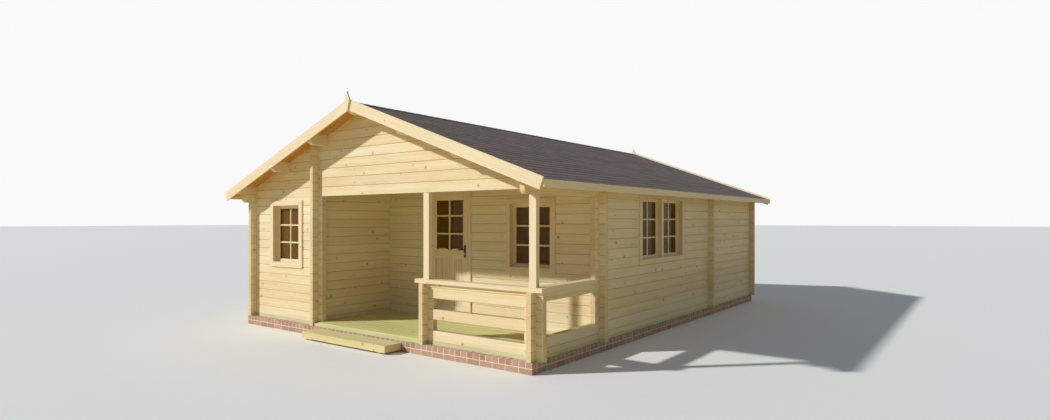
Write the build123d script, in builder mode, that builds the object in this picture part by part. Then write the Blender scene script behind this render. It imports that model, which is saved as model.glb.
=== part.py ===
from build123d import *
import math
import os

# Log cabin with a side room, a recessed veranda and a room behind a log partition.
# Millimetres. X runs to the right seen from the front, Y into the building, Z up.
# The origin is on the ground under the front wall's outer face, below the ridge.

# Logs: every wall is a stack of machined logs with a V groove at each joint
log_height = 140
log_thickness = 70
log_end = 100
groove_width = 16
groove_depth = 7

# Cuts run this far past the faces that they open
cut_past = 1

# Building, measured over the outer faces of its log walls
width = 6000
length = 8100
wall_base = 185
header_courses = 14
side_room_width = 1835
veranda_depth = 1455
partition_face = 5540

# Foundation
plinth_height = 140
plinth_width = 215
plinth_side_reveal = 20
joist_reach = 2100
deck_thickness = 20
deck_front_overhang = 80
floor_thickness = 20
fit_gap = 3

# Roof
roof_pitch = 20.2
ridge_top = 3478
side_overhang = 335
gable_overhang = 335
roof_board_thickness = 20
roof_cover_thickness = 6
barge_lip = 30
barge_thickness = 20
barge_width = 150
fascia_thickness = 20
fascia_height = 88
purlin_width = 85
purlin_height = 130
inner_purlin = 975
outer_purlin = 1965
purlin_rounding = 85
corbel_rounding = 58
beam_end_gap = 5
corbel_length = 120

# Finial on each gable's peak
finial_thickness = 22
finial_width = 115
finial_foot_width = 30
finial_hollow = 0.42
finial_shoulder_drop = 12
finial_above_ridge = 106
finial_below_ridge = 155

# Windows, each with a casing in the wall, a sash and flat trim boards outside
window_width = 722
window_height = 930
casing_thickness = 35
casing_depth = 108
sash_width = 38
sash_thickness = 40
sash_setback = 66
glass_thickness = 4
trim_thickness = 20
window_trim_side = 86
window_trim_top = 80
window_low = 1051
side_window_low = 1146
pair_width = 1524
pair_mullion = 80
pair_middle = 3502
front_window_middle = -2023
porch_window_middle = 1851
rear_window_middle = 1500

# Front door, hung on its left edge and opening onto the veranda
door_middle = 241
door_leaf_width = 768
door_leaf_thickness = 42
door_top = 2230
door_gap = 7
door_head_courses = 15
jamb_width = 40
stop_width = 20
stop_gap = 5
threshold_height = 40
threshold_nose = 20
threshold_gap = 8
door_trim_width = 76
door_trim_reveal = 8
door_glass_width = 600
door_glass_top = 2106
door_glass_low = 1285
door_rail_rise = 28
door_rail_bottom = 1159
door_bottom_rail = 180
door_panel_recess = 12
door_panel_boards = 6
door_board_groove = 10
hinge_radius = 8
hinge_stand_off = 9
hinge_height = 90
hinge_pin_radius = 4
hinge_pin_clearance = 0.5
hinge_inset = 230
hinge_gap = 1
hinge_cap = 3
handle_plate_width = 40
handle_plate_height = 205
handle_plate_above = 75
handle_plate_thickness = 5
handle_height = 1310
handle_reach = 50
handle_length = 115
handle_radius = 9

# Veranda
post_width = 100
post_depth = 65
middle_post = 1202
balustrade_courses = 5.4
slot_courses = [1, 3]
side_gap_courses = 3
handrail_thickness = 52
handrail_width = 150
handrail_end = 140
handrail_past_logs = 12

# Entrance step
step_middle = -89
step_width = 1843
step_depth = 290
step_height = 120
step_board_thickness = 28
step_board_gap = 6
step_ground_gap = 25
step_bearer_width = 60
step_bearer_inset = 120
step_boards = 2

# Rear room doorway
inner_doorway_middle = -1500
inner_doorway_width = 850

# Sizes that follow from the ones above
half = width / 2
wall_inner = half - log_thickness
slope = math.tan(math.radians(roof_pitch))
pitch_cos = math.cos(math.radians(roof_pitch))
pitch_sin = math.sin(math.radians(roof_pitch))
cover_top = ridge_top - barge_lip / pitch_cos
board_top = cover_top - roof_cover_thickness / pitch_cos
board_low = board_top - roof_board_thickness / pitch_cos
eave = half + side_overhang
roof_front = -gable_overhang
roof_rear = length + gable_overhang
beam_front = roof_front + barge_thickness + beam_end_gap
beam_rear = roof_rear - barge_thickness - beam_end_gap
header_low = wall_base + header_courses * log_height
plate_low = header_low - log_height / 2
rear_face = length - log_thickness
side_room_right = -half + side_room_width
side_room_left = side_room_right - log_thickness
veranda_wall_front = veranda_depth - log_end
door_left = door_middle - door_leaf_width / 2
door_right = door_middle + door_leaf_width / 2
door_cut_left = door_left - door_gap - jamb_width
door_cut_right = door_right + door_gap + jamb_width
door_head_top = wall_base + door_head_courses * log_height
door_low = wall_base + threshold_height + threshold_gap
balustrade_top = wall_base + balustrade_courses * log_height
handrail_top = balustrade_top + handrail_thickness
stub_left = middle_post - log_thickness / 2
window_cut_width = window_width + 2 * casing_thickness
window_cut_height = window_height + 2 * casing_thickness
wall_rear_end = length + log_end
purlin_places = [-outer_purlin, -inner_purlin, inner_purlin, outer_purlin]


def roof_underside(x):
    """Height of the roof boards' lower face at a distance x from the ridge line."""
    return board_low - slope * abs(x)


def block(x_low, x_high, y_low, y_high, z_low, z_high, mode=Mode.ADD):
    """A square-edged block between two corners."""
    middle = ((x_low + x_high) / 2, (y_low + y_high) / 2, (z_low + z_high) / 2)
    with Locations(middle):
        Box(x_high - x_low, y_high - y_low, z_high - z_low, mode=mode)


def carry_back(points, y_low, y_high, mode=Mode.ADD):
    """Carry an outline of (X, Z) points from y_low back to y_high."""
    with BuildSketch(Plane.XZ.offset(-y_high)) as outline:
        with BuildLine():
            Polyline(*points, close=True)
        make_face()
    extrude(outline.sketch, amount=y_high - y_low, mode=mode)


def carry_right(points, x_low, x_high, mode=Mode.ADD):
    """Carry an outline of (Y, Z) points from x_low to x_high."""
    with BuildSketch(Plane.YZ.offset(x_low)) as outline:
        with BuildLine():
            Polyline(*points, close=True)
        make_face()
    extrude(outline.sketch, amount=x_high - x_low, mode=mode)


def log_stack(low, high, base, low_top, high_top, first_joint, grooved):
    """Outline of a stack of logs between two faces, with a V groove at each joint.

    grooved is -1 for a groove in the low face and 1 for one in the high face, the side seen
    from outside. low_top and high_top are the heights of the top edge at the two faces.
    """
    half_groove = groove_width / 2
    if grooved > 0:
        shown, shown_top, plain, plain_top = high, high_top, low, low_top
    else:
        shown, shown_top, plain, plain_top = low, low_top, high, high_top
    points = [(plain, plain_top), (plain, base), (shown, base)]
    joint = first_joint
    while joint < min(low_top, high_top) - groove_width:
        if joint > base + groove_width:
            points.append((shown, joint - half_groove))
            points.append((shown - grooved * groove_depth, joint))
            points.append((shown, joint + half_groove))
        joint += log_height
    points.append((shown, shown_top))
    return points


def wall_across(x_low, x_high, y_front, base, top, grooved=-1):
    """A log wall that runs from left to right, its joints on whole courses.

    grooved is as for log_stack, or 0 for a wall with close, flush joints.
    """
    y_back = y_front + log_thickness
    if grooved:
        stack = log_stack(y_front, y_back, base, top, top, wall_base, grooved)
        carry_right(stack, x_low, x_high)
    else:
        block(x_low, x_high, y_front, y_back, base, top)


def wall_along(x_low, y_low, y_high, base, top=None, grooved=1):
    """A log wall that runs from front to back, its joints half a course higher.

    Without a top it goes up to the roof boards.
    """
    x_high = x_low + log_thickness
    low_top = top or roof_underside(x_low)
    high_top = top or roof_underside(x_high)
    stack = log_stack(x_low, x_high, base, low_top, high_top, wall_base + log_height / 2, grooved)
    carry_back(stack, y_low, y_high)


def seat_logs(x_low, y_front, first, last, offset):
    """Notch a wall for the logs that cross it: half of each log's height passes through.

    first and last count the crossing logs, and offset places them in courses.
    """
    places = []
    for count in range(first, last + 1):
        height = wall_base + (count + offset) * log_height
        places.append((x_low + log_thickness / 2, y_front + log_thickness / 2, height))
    with Locations(*places):
        Box(log_thickness, log_thickness, log_height / 2, mode=Mode.SUBTRACT)


def seat_logs_along(x_low, y_front, first, last):
    """Notches in a wall across, for the logs of a wall that runs front to back."""
    seat_logs(x_low, y_front, first, last, 0)


def seat_logs_across(x_low, y_front, first, last):
    """Notches in a wall along, for the logs of a wall that runs left to right."""
    seat_logs(x_low, y_front, first, last, 0.5)


def roof_outline():
    """Outline of what stands under the roof, from the base beams up to the roof boards."""
    reach = half + log_end
    eave_height = roof_underside(reach)
    return [(-reach, 0), (reach, 0), (reach, eave_height), (0, board_low), (-reach, eave_height)]


def roof_course(x_low):
    """Count of the courses up to the one that meets the roof over a wall whose left face is at x_low."""
    highest = max(roof_underside(x_low), roof_underside(x_low + log_thickness))
    return math.floor((highest - wall_base) / log_height)


def purlin_outline(x):
    """Cross-section of a roof beam whose top lies against the roof boards."""
    left = x - purlin_width / 2
    right = x + purlin_width / 2
    low = min(roof_underside(left), roof_underside(right)) - purlin_height
    points = [(left, low), (right, low), (right, roof_underside(right))]
    if x == 0:
        points.append((0, board_low))
    points.append((left, roof_underside(left)))
    return points


def gable(x_low, x_high, y_front, base, grooved=-1):
    """The logs of a wall across above base, cut to the roof and seated for its beams."""
    wall_across(x_low, x_high, y_front, base, ridge_top, grooved)
    front = y_front - cut_past
    rear = y_front + log_thickness + cut_past
    carry_back(roof_outline(), front, rear, mode=Mode.INTERSECT)
    for x in purlin_places + [0]:
        if x_low < x < x_high:
            carry_back(purlin_outline(x), front, rear, mode=Mode.SUBTRACT)


def round_lower_corner(x_low, x_high, y_end, z_low, radius, inward):
    """Round the lower corner of a beam's end; inward is the way into the beam along Y."""
    centre_y = y_end + inward * radius
    centre_z = z_low + radius
    bend = radius * math.sqrt(0.5)
    outside_y = y_end - inward * cut_past
    outside_z = z_low - cut_past
    with BuildSketch(Plane.YZ.offset(x_low - cut_past)) as corner:
        with BuildLine():
            Polyline((centre_y, z_low), (centre_y, outside_z), (outside_y, outside_z),
                     (outside_y, centre_z), (y_end, centre_z))
            middle = (centre_y - inward * bend, centre_z - bend)
            ThreePointArc((y_end, centre_z), middle, (centre_y, z_low))
        make_face()
    extrude(corner.sketch, amount=x_high - x_low + 2 * cut_past, mode=Mode.SUBTRACT)


os.makedirs("parts", exist_ok=True)


def keep(name, builder):
    """Label a finished piece and write it to its own file."""
    builder.part.label = name
    export_step(builder.part, f"parts/{name}.step")


# Brick plinth: one ring of brickwork, standing forward under the log ends at the front
plinth_reach = half + plinth_side_reveal
plinth_rear = length + plinth_side_reveal
with BuildPart() as brick_plinth:
    block(-plinth_reach, plinth_reach, -log_end, plinth_rear, 0, plinth_height)
    inner_reach = plinth_reach - plinth_width
    inner_front = plinth_width - log_end
    inner_rear = plinth_rear - plinth_width
    block(-inner_reach, inner_reach, inner_front, inner_rear, 0, plinth_height, mode=Mode.SUBTRACT)
keep("brick_plinth", brick_plinth)

# Treated base beams: one set across the building and one along it under the walls, halved
# where they cross, with short joists between the beams across
beam_lines_across = [0, veranda_depth, partition_face, rear_face]
wall_beam_lines = [-half, side_room_left, stub_left, wall_inner]
joist_lines = [-joist_reach, -log_thickness / 2, joist_reach - log_thickness]
beam_middle = (plinth_height + wall_base) / 2

with BuildPart() as base_beams_across:
    for y in beam_lines_across:
        block(-half - log_end, half + log_end, y, y + log_thickness, plinth_height, wall_base)
        for x in wall_beam_lines:
            block(x, x + log_thickness, y, y + log_thickness, beam_middle, wall_base, mode=Mode.SUBTRACT)
    deck_beam_front = -deck_front_overhang
    block(side_room_right + fit_gap, stub_left - fit_gap, deck_beam_front, deck_beam_front + log_thickness,
          plinth_height, wall_base)
keep("base_beams_across", base_beams_across)

with BuildPart() as base_beams_along:
    for x in wall_beam_lines:
        block(x, x + log_thickness, -log_end, wall_rear_end, plinth_height, wall_base)
        for y in beam_lines_across:
            block(x, x + log_thickness, y, y + log_thickness, plinth_height, beam_middle, mode=Mode.SUBTRACT)
    for x in joist_lines:
        for y, y_next in zip(beam_lines_across, beam_lines_across[1:]):
            block(x, x + log_thickness, y + log_thickness, y_next, plinth_height, wall_base)
keep("base_beams_along", base_beams_along)

# Floor boards of the rooms, laid on the base beams between the walls
floor_top = wall_base + floor_thickness
with BuildPart() as floor:
    main_front = veranda_depth + log_thickness + fit_gap
    main_rear = partition_face - fit_gap
    inside = wall_inner - fit_gap
    block(-inside, inside, main_front, main_rear, wall_base, floor_top)
    side_front = log_thickness + fit_gap
    side_right = side_room_left - fit_gap
    block(-inside, side_right, side_front, main_front, wall_base, floor_top)
    rear_front = partition_face + log_thickness + fit_gap
    block(-inside, inside, rear_front, rear_face - fit_gap, wall_base, floor_top)
    stub_back = veranda_depth + log_thickness + log_end + fit_gap
    block(side_right, side_room_right + fit_gap, main_front, stub_back,
          wall_base, floor_top, mode=Mode.SUBTRACT)
    block(side_room_left - log_end - fit_gap, side_right, veranda_depth - fit_gap, main_front,
          wall_base, floor_top, mode=Mode.SUBTRACT)
keep("floor", floor)

# Veranda deck: boards on the base beams, over the plinth's edge at the entrance
deck_top = wall_base + deck_thickness
with BuildPart() as veranda_deck:
    deck_left = side_room_right + fit_gap
    deck_front = log_thickness + fit_gap
    ends_back = log_thickness + log_end + fit_gap
    block(deck_left, wall_inner - fit_gap, deck_front, veranda_depth - fit_gap, wall_base, deck_top)
    entrance_left = side_room_right + log_end + fit_gap
    block(entrance_left, stub_left - fit_gap, -deck_front_overhang, deck_front, wall_base, deck_top)
    block(stub_left - fit_gap, stub_left + log_thickness + log_end + fit_gap, deck_front, ends_back,
          wall_base, deck_top, mode=Mode.SUBTRACT)
    block(wall_inner - log_end - fit_gap, wall_inner, deck_front, ends_back,
          wall_base, deck_top, mode=Mode.SUBTRACT)
keep("veranda_deck", veranda_deck)

# Entrance step: boards on a frame of front, rear and end boards, with two bearers on the ground
step_front = -log_end - step_depth
step_board_low = step_height - step_board_thickness
with BuildPart() as entrance_step:
    left = step_middle - step_width / 2
    right = step_middle + step_width / 2
    board_depth = (step_depth - (step_boards - 1) * step_board_gap) / step_boards
    for count in range(step_boards):
        board_front = step_front + count * (board_depth + step_board_gap)
        block(left, right, board_front, board_front + board_depth, step_board_low, step_height)
    frame_front = step_front + step_board_thickness
    frame_rear = -log_end - step_board_thickness
    block(left, right, step_front, -log_end, step_ground_gap, step_board_low)
    block(left + step_board_thickness, right - step_board_thickness, frame_front, frame_rear,
          step_ground_gap, step_board_low, mode=Mode.SUBTRACT)
    for bearer in (left + step_bearer_inset, right - step_bearer_inset - step_bearer_width):
        block(bearer, bearer + step_bearer_width, frame_front, frame_rear, 0, step_board_low)
keep("entrance_step", entrance_step)

# Walls that run front to back
last_course = header_courses - 1
side_cut_front = pair_middle - pair_width / 2 - casing_thickness
side_cut_rear = pair_middle + pair_width / 2 + casing_thickness


def cut_side_window(x_low):
    """The opening for the pair of windows in a side wall and in the plate over it."""
    block(x_low - cut_past, x_low + log_thickness + cut_past, side_cut_front, side_cut_rear,
          side_window_low, side_window_low + window_cut_height, mode=Mode.SUBTRACT)


with BuildPart() as left_wall:
    wall_along(-half, -log_end, wall_rear_end, wall_base, plate_low, grooved=-1)
    for y in (0, partition_face, rear_face):
        seat_logs_across(-half, y, 0, last_course)
    cut_side_window(-half)
keep("left_wall", left_wall)

with BuildPart() as right_wall:
    wall_along(wall_inner, veranda_wall_front, wall_rear_end, wall_base, plate_low)
    for y in (veranda_depth, partition_face, rear_face):
        seat_logs_across(wall_inner, y, 0, last_course)
    cut_side_window(wall_inner)
keep("right_wall", right_wall)


# Wall plates: the top logs of the side walls. The lower one ends in a corbel at each gable
# and the upper one runs on to the barge boards, both with a rounded lower corner.
def wall_plate(x_low, grooved, lines_below_header, lines_from_header):
    """Top logs over a side wall; the lines are the walls across that meet it."""
    x_high = x_low + log_thickness
    corbel_top = plate_low + log_height
    wall_along(x_low, beam_front, beam_rear, plate_low, grooved=grooved)
    for y_beam, y_corbel, inward in ((beam_front, -log_end - corbel_length, 1),
                                     (beam_rear, wall_rear_end + corbel_length, -1)):
        y_past = y_beam - inward * cut_past
        block(x_low - cut_past, x_high + cut_past, min(y_past, y_corbel), max(y_past, y_corbel),
              plate_low - cut_past, corbel_top, mode=Mode.SUBTRACT)
        round_lower_corner(x_low, x_high, y_corbel, plate_low, corbel_rounding, inward)
        round_lower_corner(x_low, x_high, y_beam, corbel_top, corbel_rounding, inward)
    for y in lines_below_header:
        seat_logs_across(x_low, y, last_course, roof_course(x_low))
    for y in lines_from_header:
        seat_logs_across(x_low, y, header_courses, roof_course(x_low))
    cut_side_window(x_low)


with BuildPart() as left_wall_plate:
    wall_plate(-half, -1, [0, partition_face, rear_face], [])
keep("left_wall_plate", left_wall_plate)

with BuildPart() as right_wall_plate:
    wall_plate(wall_inner, 1, [veranda_depth, partition_face, rear_face], [0])
keep("right_wall_plate", right_wall_plate)

with BuildPart() as side_room_wall:
    side_room_rear = veranda_depth + log_thickness + log_end
    wall_along(side_room_left, -log_end, side_room_rear, wall_base)
    for y in (0, veranda_depth):
        seat_logs_across(side_room_left, y, 0, roof_course(side_room_left))
keep("side_room_wall", side_room_wall)


def cut_window(middle, y_front):
    """The opening for a single window in a wall across."""
    block(middle - window_cut_width / 2, middle + window_cut_width / 2,
          y_front - cut_past, y_front + log_thickness + cut_past,
          window_low, window_low + window_cut_height, mode=Mode.SUBTRACT)


# Front: the side room's wall with its window, and the gable that spans the whole front
with BuildPart() as front_wall:
    wall_across(-half - log_end, side_room_right + log_end, 0, wall_base, header_low)
    for x in (-half, side_room_left):
        seat_logs_along(x, 0, 0, header_courses)
    cut_window(front_window_middle, 0)
keep("front_wall", front_wall)

with BuildPart() as front_gable:
    gable(-half - log_end, half + log_end, 0, header_low)
    for x in (-half, side_room_left, wall_inner):
        seat_logs_along(x, 0, header_courses, roof_course(x))
keep("front_gable", front_gable)

# Veranda wall: left and right of the door, and the logs above the door up to the roof
veranda_wall_left_end = side_room_left - log_end
with BuildPart() as veranda_wall_left:
    wall_across(veranda_wall_left_end, door_cut_left, veranda_depth, wall_base, door_head_top)
    seat_logs_along(side_room_left, veranda_depth, 0, door_head_courses)
keep("veranda_wall_left", veranda_wall_left)

with BuildPart() as veranda_wall_right:
    wall_across(door_cut_right, half + log_end, veranda_depth, wall_base, door_head_top)
    carry_back(roof_outline(), veranda_depth - cut_past, veranda_depth + log_thickness + cut_past,
               mode=Mode.INTERSECT)
    seat_logs_along(wall_inner, veranda_depth, 0, door_head_courses)
    cut_window(porch_window_middle, veranda_depth)
keep("veranda_wall_right", veranda_wall_right)

with BuildPart() as veranda_gable:
    gable(veranda_wall_left_end, wall_inner, veranda_depth, door_head_top)
    seat_logs_along(side_room_left, veranda_depth, door_head_courses, roof_course(side_room_left))
keep("veranda_gable", veranda_gable)

# Partition before the rear room: two walls beside its doorway and a gable over them
with BuildPart() as partition_walls:
    doorway_left = inner_doorway_middle - inner_doorway_width / 2
    doorway_right = inner_doorway_middle + inner_doorway_width / 2
    wall_across(-half - log_end, doorway_left, partition_face, wall_base, header_low, grooved=0)
    wall_across(doorway_right, half + log_end, partition_face, wall_base, header_low, grooved=0)
    for x in (-half, wall_inner):
        seat_logs_along(x, partition_face, 0, header_courses)
keep("partition_walls", partition_walls)

with BuildPart() as partition_gable:
    gable(-half - log_end, half + log_end, partition_face, header_low, grooved=0)
    for x in (-half, wall_inner):
        seat_logs_along(x, partition_face, header_courses, roof_course(x))
keep("partition_gable", partition_gable)

# Rear wall and its gable
with BuildPart() as rear_wall:
    wall_across(-half - log_end, half + log_end, rear_face, wall_base, header_low, grooved=1)
    for x in (-half, wall_inner):
        seat_logs_along(x, rear_face, 0, header_courses)
    cut_window(rear_window_middle, rear_face)
keep("rear_wall", rear_wall)

with BuildPart() as rear_gable:
    gable(-half - log_end, half + log_end, rear_face, header_low, grooved=1)
    for x in (-half, wall_inner):
        seat_logs_along(x, rear_face, header_courses, roof_course(x))
keep("rear_gable", rear_gable)

# Veranda balustrade: full logs and short stubs, crossed at the corner and at the middle post
stub_end = stub_left + log_thickness + log_end
corner_stub = wall_inner - log_end
balustrade_last = math.floor(balustrade_courses)
with BuildPart() as balustrade_front:
    wall_across(stub_left, half + log_end, 0, wall_base, balustrade_top)
    for x in (stub_left, wall_inner):
        seat_logs_along(x, 0, 0, balustrade_last)
    for course in slot_courses:
        slot_low = wall_base + course * log_height
        block(stub_end, corner_stub, -cut_past, log_thickness + cut_past, slot_low, slot_low + log_height,
              mode=Mode.SUBTRACT)
keep("balustrade_front", balustrade_front)

side_stub_rear = log_thickness + log_end
with BuildPart() as balustrade_side:
    wall_along(wall_inner, -log_end, veranda_wall_front, wall_base, balustrade_top)
    seat_logs_across(wall_inner, 0, 0, balustrade_last)
    gap_low = wall_base + (slot_courses[0] + 0.5) * log_height
    gap_high = gap_low + side_gap_courses * log_height
    block(wall_inner - cut_past, half + cut_past, side_stub_rear, veranda_wall_front + cut_past,
          gap_low, gap_high, mode=Mode.SUBTRACT)
keep("balustrade_side", balustrade_side)

with BuildPart() as balustrade_stub:
    wall_along(stub_left, -log_end, side_stub_rear, wall_base, balustrade_top)
    seat_logs_across(stub_left, 0, 0, balustrade_last)
keep("balustrade_stub", balustrade_stub)

# Handrail boards on the balustrade
rail_front = log_thickness / 2 - handrail_width / 2
rail_back = log_thickness / 2 + handrail_width / 2
with BuildPart() as handrail_front:
    block(stub_left - handrail_end, half + log_end + handrail_past_logs, rail_front, rail_back,
          balustrade_top, handrail_top)
keep("handrail_front", handrail_front)

with BuildPart() as handrail_side:
    rail_middle = half - log_thickness / 2
    block(rail_middle - handrail_width / 2, rail_middle + handrail_width / 2, rail_back, veranda_wall_front,
          balustrade_top, handrail_top)
keep("handrail_side", handrail_side)

# Posts from the handrail up to the header and the wall plate
post_front = (log_thickness - post_depth) / 2
with BuildPart() as corner_post:
    block(half - post_width, half, post_front, post_front + post_depth, handrail_top, plate_low)
    block(half - post_width, wall_inner, post_front, post_front + post_depth, plate_low, header_low)
keep("corner_post", corner_post)

with BuildPart() as middle_veranda_post:
    block(middle_post - post_width / 2, middle_post + post_width / 2, post_front, post_front + post_depth,
          handrail_top, header_low)
keep("middle_veranda_post", middle_veranda_post)

# Roof beams: four purlins and the ridge beam, from barge board to barge board
def roof_beam(x):
    """A beam from barge board to barge board, with a rounded lower corner at each end."""
    section = purlin_outline(x)
    left = x - purlin_width / 2
    right = x + purlin_width / 2
    carry_back(section, beam_front, beam_rear)
    round_lower_corner(left, right, beam_front, section[0][1], purlin_rounding, 1)
    round_lower_corner(left, right, beam_rear, section[0][1], purlin_rounding, -1)


with BuildPart() as purlins:
    for x in purlin_places:
        roof_beam(x)
keep("purlins", purlins)

with BuildPart() as ridge_beam:
    roof_beam(0)
keep("ridge_beam", ridge_beam)

# Roof: boards under a bitumen cover on each slope, between the barge boards
boards_front = roof_front + barge_thickness
boards_rear = roof_rear - barge_thickness
board_eave = eave - fascia_thickness


def roof_slab(side, reach, low, high):
    """A sloping slab from the ridge to reach; low and high are its heights at the ridge."""
    drop = slope * reach
    points = [(0, low), (side * reach, low - drop), (side * reach, high - drop), (0, high)]
    carry_back(points, boards_front, boards_rear)


for name, side in (("left", -1), ("right", 1)):
    with BuildPart() as roof_boards:
        roof_slab(side, board_eave, board_low, board_top)
    keep(f"roof_boards_{name}", roof_boards)

    with BuildPart() as roof_cover:
        roof_slab(side, board_eave, board_top, cover_top)
    keep(f"roof_cover_{name}", roof_cover)

with BuildPart() as eave_fascias:
    fascia_top = cover_top - slope * board_eave
    for side in (-1, 1):
        inner = side * board_eave
        outer = side * (board_eave + fascia_thickness)
        block(min(inner, outer), max(inner, outer), boards_front, boards_rear,
              fascia_top - fascia_height, fascia_top)
keep("eave_fascias", eave_fascias)

# Barge boards: a pair on each gable, plumb cut at the ridge and square cut at the eaves
for end, y_low in (("front", roof_front), ("rear", boards_rear)):
    for name, side in (("left", -1), ("right", 1)):
        with BuildPart() as barge_board:
            top_end = (side * eave, ridge_top - slope * eave)
            low_end = (top_end[0] - side * barge_width * pitch_sin, top_end[1] - barge_width * pitch_cos)
            points = [(0, ridge_top), top_end, low_end, (0, ridge_top - barge_width / pitch_cos)]
            carry_back(points, y_low, y_low + barge_thickness)
        keep(f"{end}_barge_board_{name}", barge_board)

# Finials: a slender pointed board over the joint of each pair of barge boards
with BuildPart() as finials:
    tip = ridge_top + finial_above_ridge
    foot = ridge_top - finial_below_ridge
    shoulder = finial_width / 2
    shoulder_height = ridge_top - finial_shoulder_drop
    for y_high in (roof_front, roof_rear + finial_thickness):
        with BuildSketch(Plane.XZ.offset(-y_high)) as outline:
            with BuildLine():
                upper_middle = (shoulder * finial_hollow, (tip + shoulder_height) / 2)
                ThreePointArc((0, tip), upper_middle, (shoulder, shoulder_height))
                Line((shoulder, shoulder_height), (finial_foot_width / 2, foot))
                Line((finial_foot_width / 2, foot), (0, foot - finial_foot_width / 2))
                mirror(about=Plane.YZ)
            make_face()
        extrude(outline.sketch, amount=finial_thickness)
keep("finials", finials)


# Windows
def sash_places(total_width, sashes):
    """Middle and width of each sash, with a mullion between two of them."""
    sash_total = (total_width - (sashes - 1) * pair_mullion) / sashes
    pitch = sash_total + pair_mullion
    first = -pitch * (sashes - 1) / 2
    return [(first + count * pitch, sash_total) for count in range(sashes)]


def window_set(face, total_width, sashes):
    """Casing, sashes and outside trim of one window, as one joined frame.

    face lies in the wall's outer side at the middle of the window's sill, looking out.
    """
    middle = window_cut_height / 2
    with BuildSketch(face) as casing:
        with Locations((0, middle)):
            Rectangle(total_width + 2 * casing_thickness, window_cut_height)
        for place, sash_total in sash_places(total_width, sashes):
            with Locations((place, middle)):
                Rectangle(sash_total, window_height, mode=Mode.SUBTRACT)
    extrude(casing.sketch, amount=-casing_depth)
    with BuildSketch(face) as trim:
        with Locations((0, middle)):
            Rectangle(total_width + 2 * window_trim_side, window_height + 2 * window_trim_top)
            Rectangle(total_width, window_height, mode=Mode.SUBTRACT)
    extrude(trim.sketch, amount=trim_thickness)
    with BuildSketch(face.offset(-sash_setback)) as sash:
        for place, sash_total in sash_places(total_width, sashes):
            with Locations((place, middle)):
                Rectangle(sash_total, window_height)
                Rectangle(sash_total - 2 * sash_width, window_height - 2 * sash_width, mode=Mode.SUBTRACT)
    extrude(sash.sketch, amount=-sash_thickness)


def window_panes(face, total_width, sashes):
    """The glass of one window, let into the middle of its sashes."""
    middle = window_cut_height / 2
    with BuildSketch(face.offset(-sash_setback - sash_thickness / 2)) as panes:
        for place, sash_total in sash_places(total_width, sashes):
            with Locations((place, middle)):
                Rectangle(sash_total - 2 * sash_width, window_height - 2 * sash_width)
    extrude(panes.sketch, amount=-glass_thickness)


window_faces = {
    "front": Plane((front_window_middle, 0, window_low), x_dir=(1, 0, 0), z_dir=(0, -1, 0)),
    "veranda": Plane((porch_window_middle, veranda_depth, window_low), x_dir=(1, 0, 0), z_dir=(0, -1, 0)),
    "rear": Plane((rear_window_middle, length, window_low), x_dir=(-1, 0, 0), z_dir=(0, 1, 0)),
    "right": Plane((half, pair_middle, side_window_low), x_dir=(0, 1, 0), z_dir=(1, 0, 0)),
    "left": Plane((-half, pair_middle, side_window_low), x_dir=(0, -1, 0), z_dir=(-1, 0, 0)),
}
window_sizes = {
    "front": (window_width, 1),
    "veranda": (window_width, 1),
    "rear": (window_width, 1),
    "right": (pair_width, 2),
    "left": (pair_width, 2),
}
for name, face in window_faces.items():
    with BuildPart() as window:
        window_set(face, *window_sizes[name])
    keep(f"{name}_window", window)

with BuildPart() as window_glass:
    for name, face in window_faces.items():
        window_panes(face, *window_sizes[name])
keep("window_glass", window_glass)

# Door frame: two jambs and a head with a stop behind the leaf, and trim boards outside
leaf_front = veranda_depth
leaf_back = leaf_front + door_leaf_thickness
opening_left = door_left - door_gap
opening_right = door_right + door_gap
opening_top = door_top + door_gap
wall_back = veranda_depth + log_thickness
with BuildPart() as door_frame:
    block(door_cut_left, door_cut_right, veranda_depth, wall_back, wall_base, door_head_top)
    block(opening_left, opening_right, veranda_depth, leaf_back + stop_gap,
          wall_base, opening_top, mode=Mode.SUBTRACT)
    block(opening_left + stop_width, opening_right - stop_width, veranda_depth, wall_back,
          wall_base, opening_top - stop_width, mode=Mode.SUBTRACT)
    trim_inner_left = opening_left - door_trim_reveal
    trim_inner_right = opening_right + door_trim_reveal
    trim_inner_top = opening_top + door_trim_reveal
    trim_front = veranda_depth - trim_thickness
    block(trim_inner_left - door_trim_width, trim_inner_left, trim_front, veranda_depth,
          deck_top, trim_inner_top + door_trim_width)
    block(trim_inner_right, trim_inner_right + door_trim_width, trim_front, veranda_depth,
          deck_top, trim_inner_top + door_trim_width)
    block(trim_inner_left, trim_inner_right, trim_front, veranda_depth,
          trim_inner_top, trim_inner_top + door_trim_width)
keep("door_frame", door_frame)

with BuildPart() as threshold:
    block(opening_left + stop_width, opening_right - stop_width, veranda_depth - threshold_nose, wall_back,
          wall_base, wall_base + threshold_height)
    block(opening_left + stop_width, opening_right - stop_width, veranda_depth - threshold_nose,
          veranda_depth - fit_gap, wall_base, deck_top, mode=Mode.SUBTRACT)
keep("threshold", threshold)

# Outline of the door's glass, whose lower edge is two shallow arcs side by side
glass_left = door_middle - door_glass_width / 2
glass_right = door_middle + door_glass_width / 2


def door_glass_outline(y):
    """Sketch of the door's glass, upright at the depth y."""
    quarter = door_glass_width / 4
    arc_height = door_glass_low + door_rail_rise
    foot_left = (glass_left, door_glass_low)
    foot_middle = (door_middle, door_glass_low)
    foot_right = (glass_right, door_glass_low)
    with BuildSketch(Plane.XZ.offset(-y)) as outline:
        with BuildLine():
            Polyline(foot_left, (glass_left, door_glass_top), (glass_right, door_glass_top), foot_right)
            ThreePointArc(foot_right, (door_middle + quarter, arc_height), foot_middle)
            ThreePointArc(foot_middle, (door_middle - quarter, arc_height), foot_left)
        make_face()
    return outline.sketch


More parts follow.
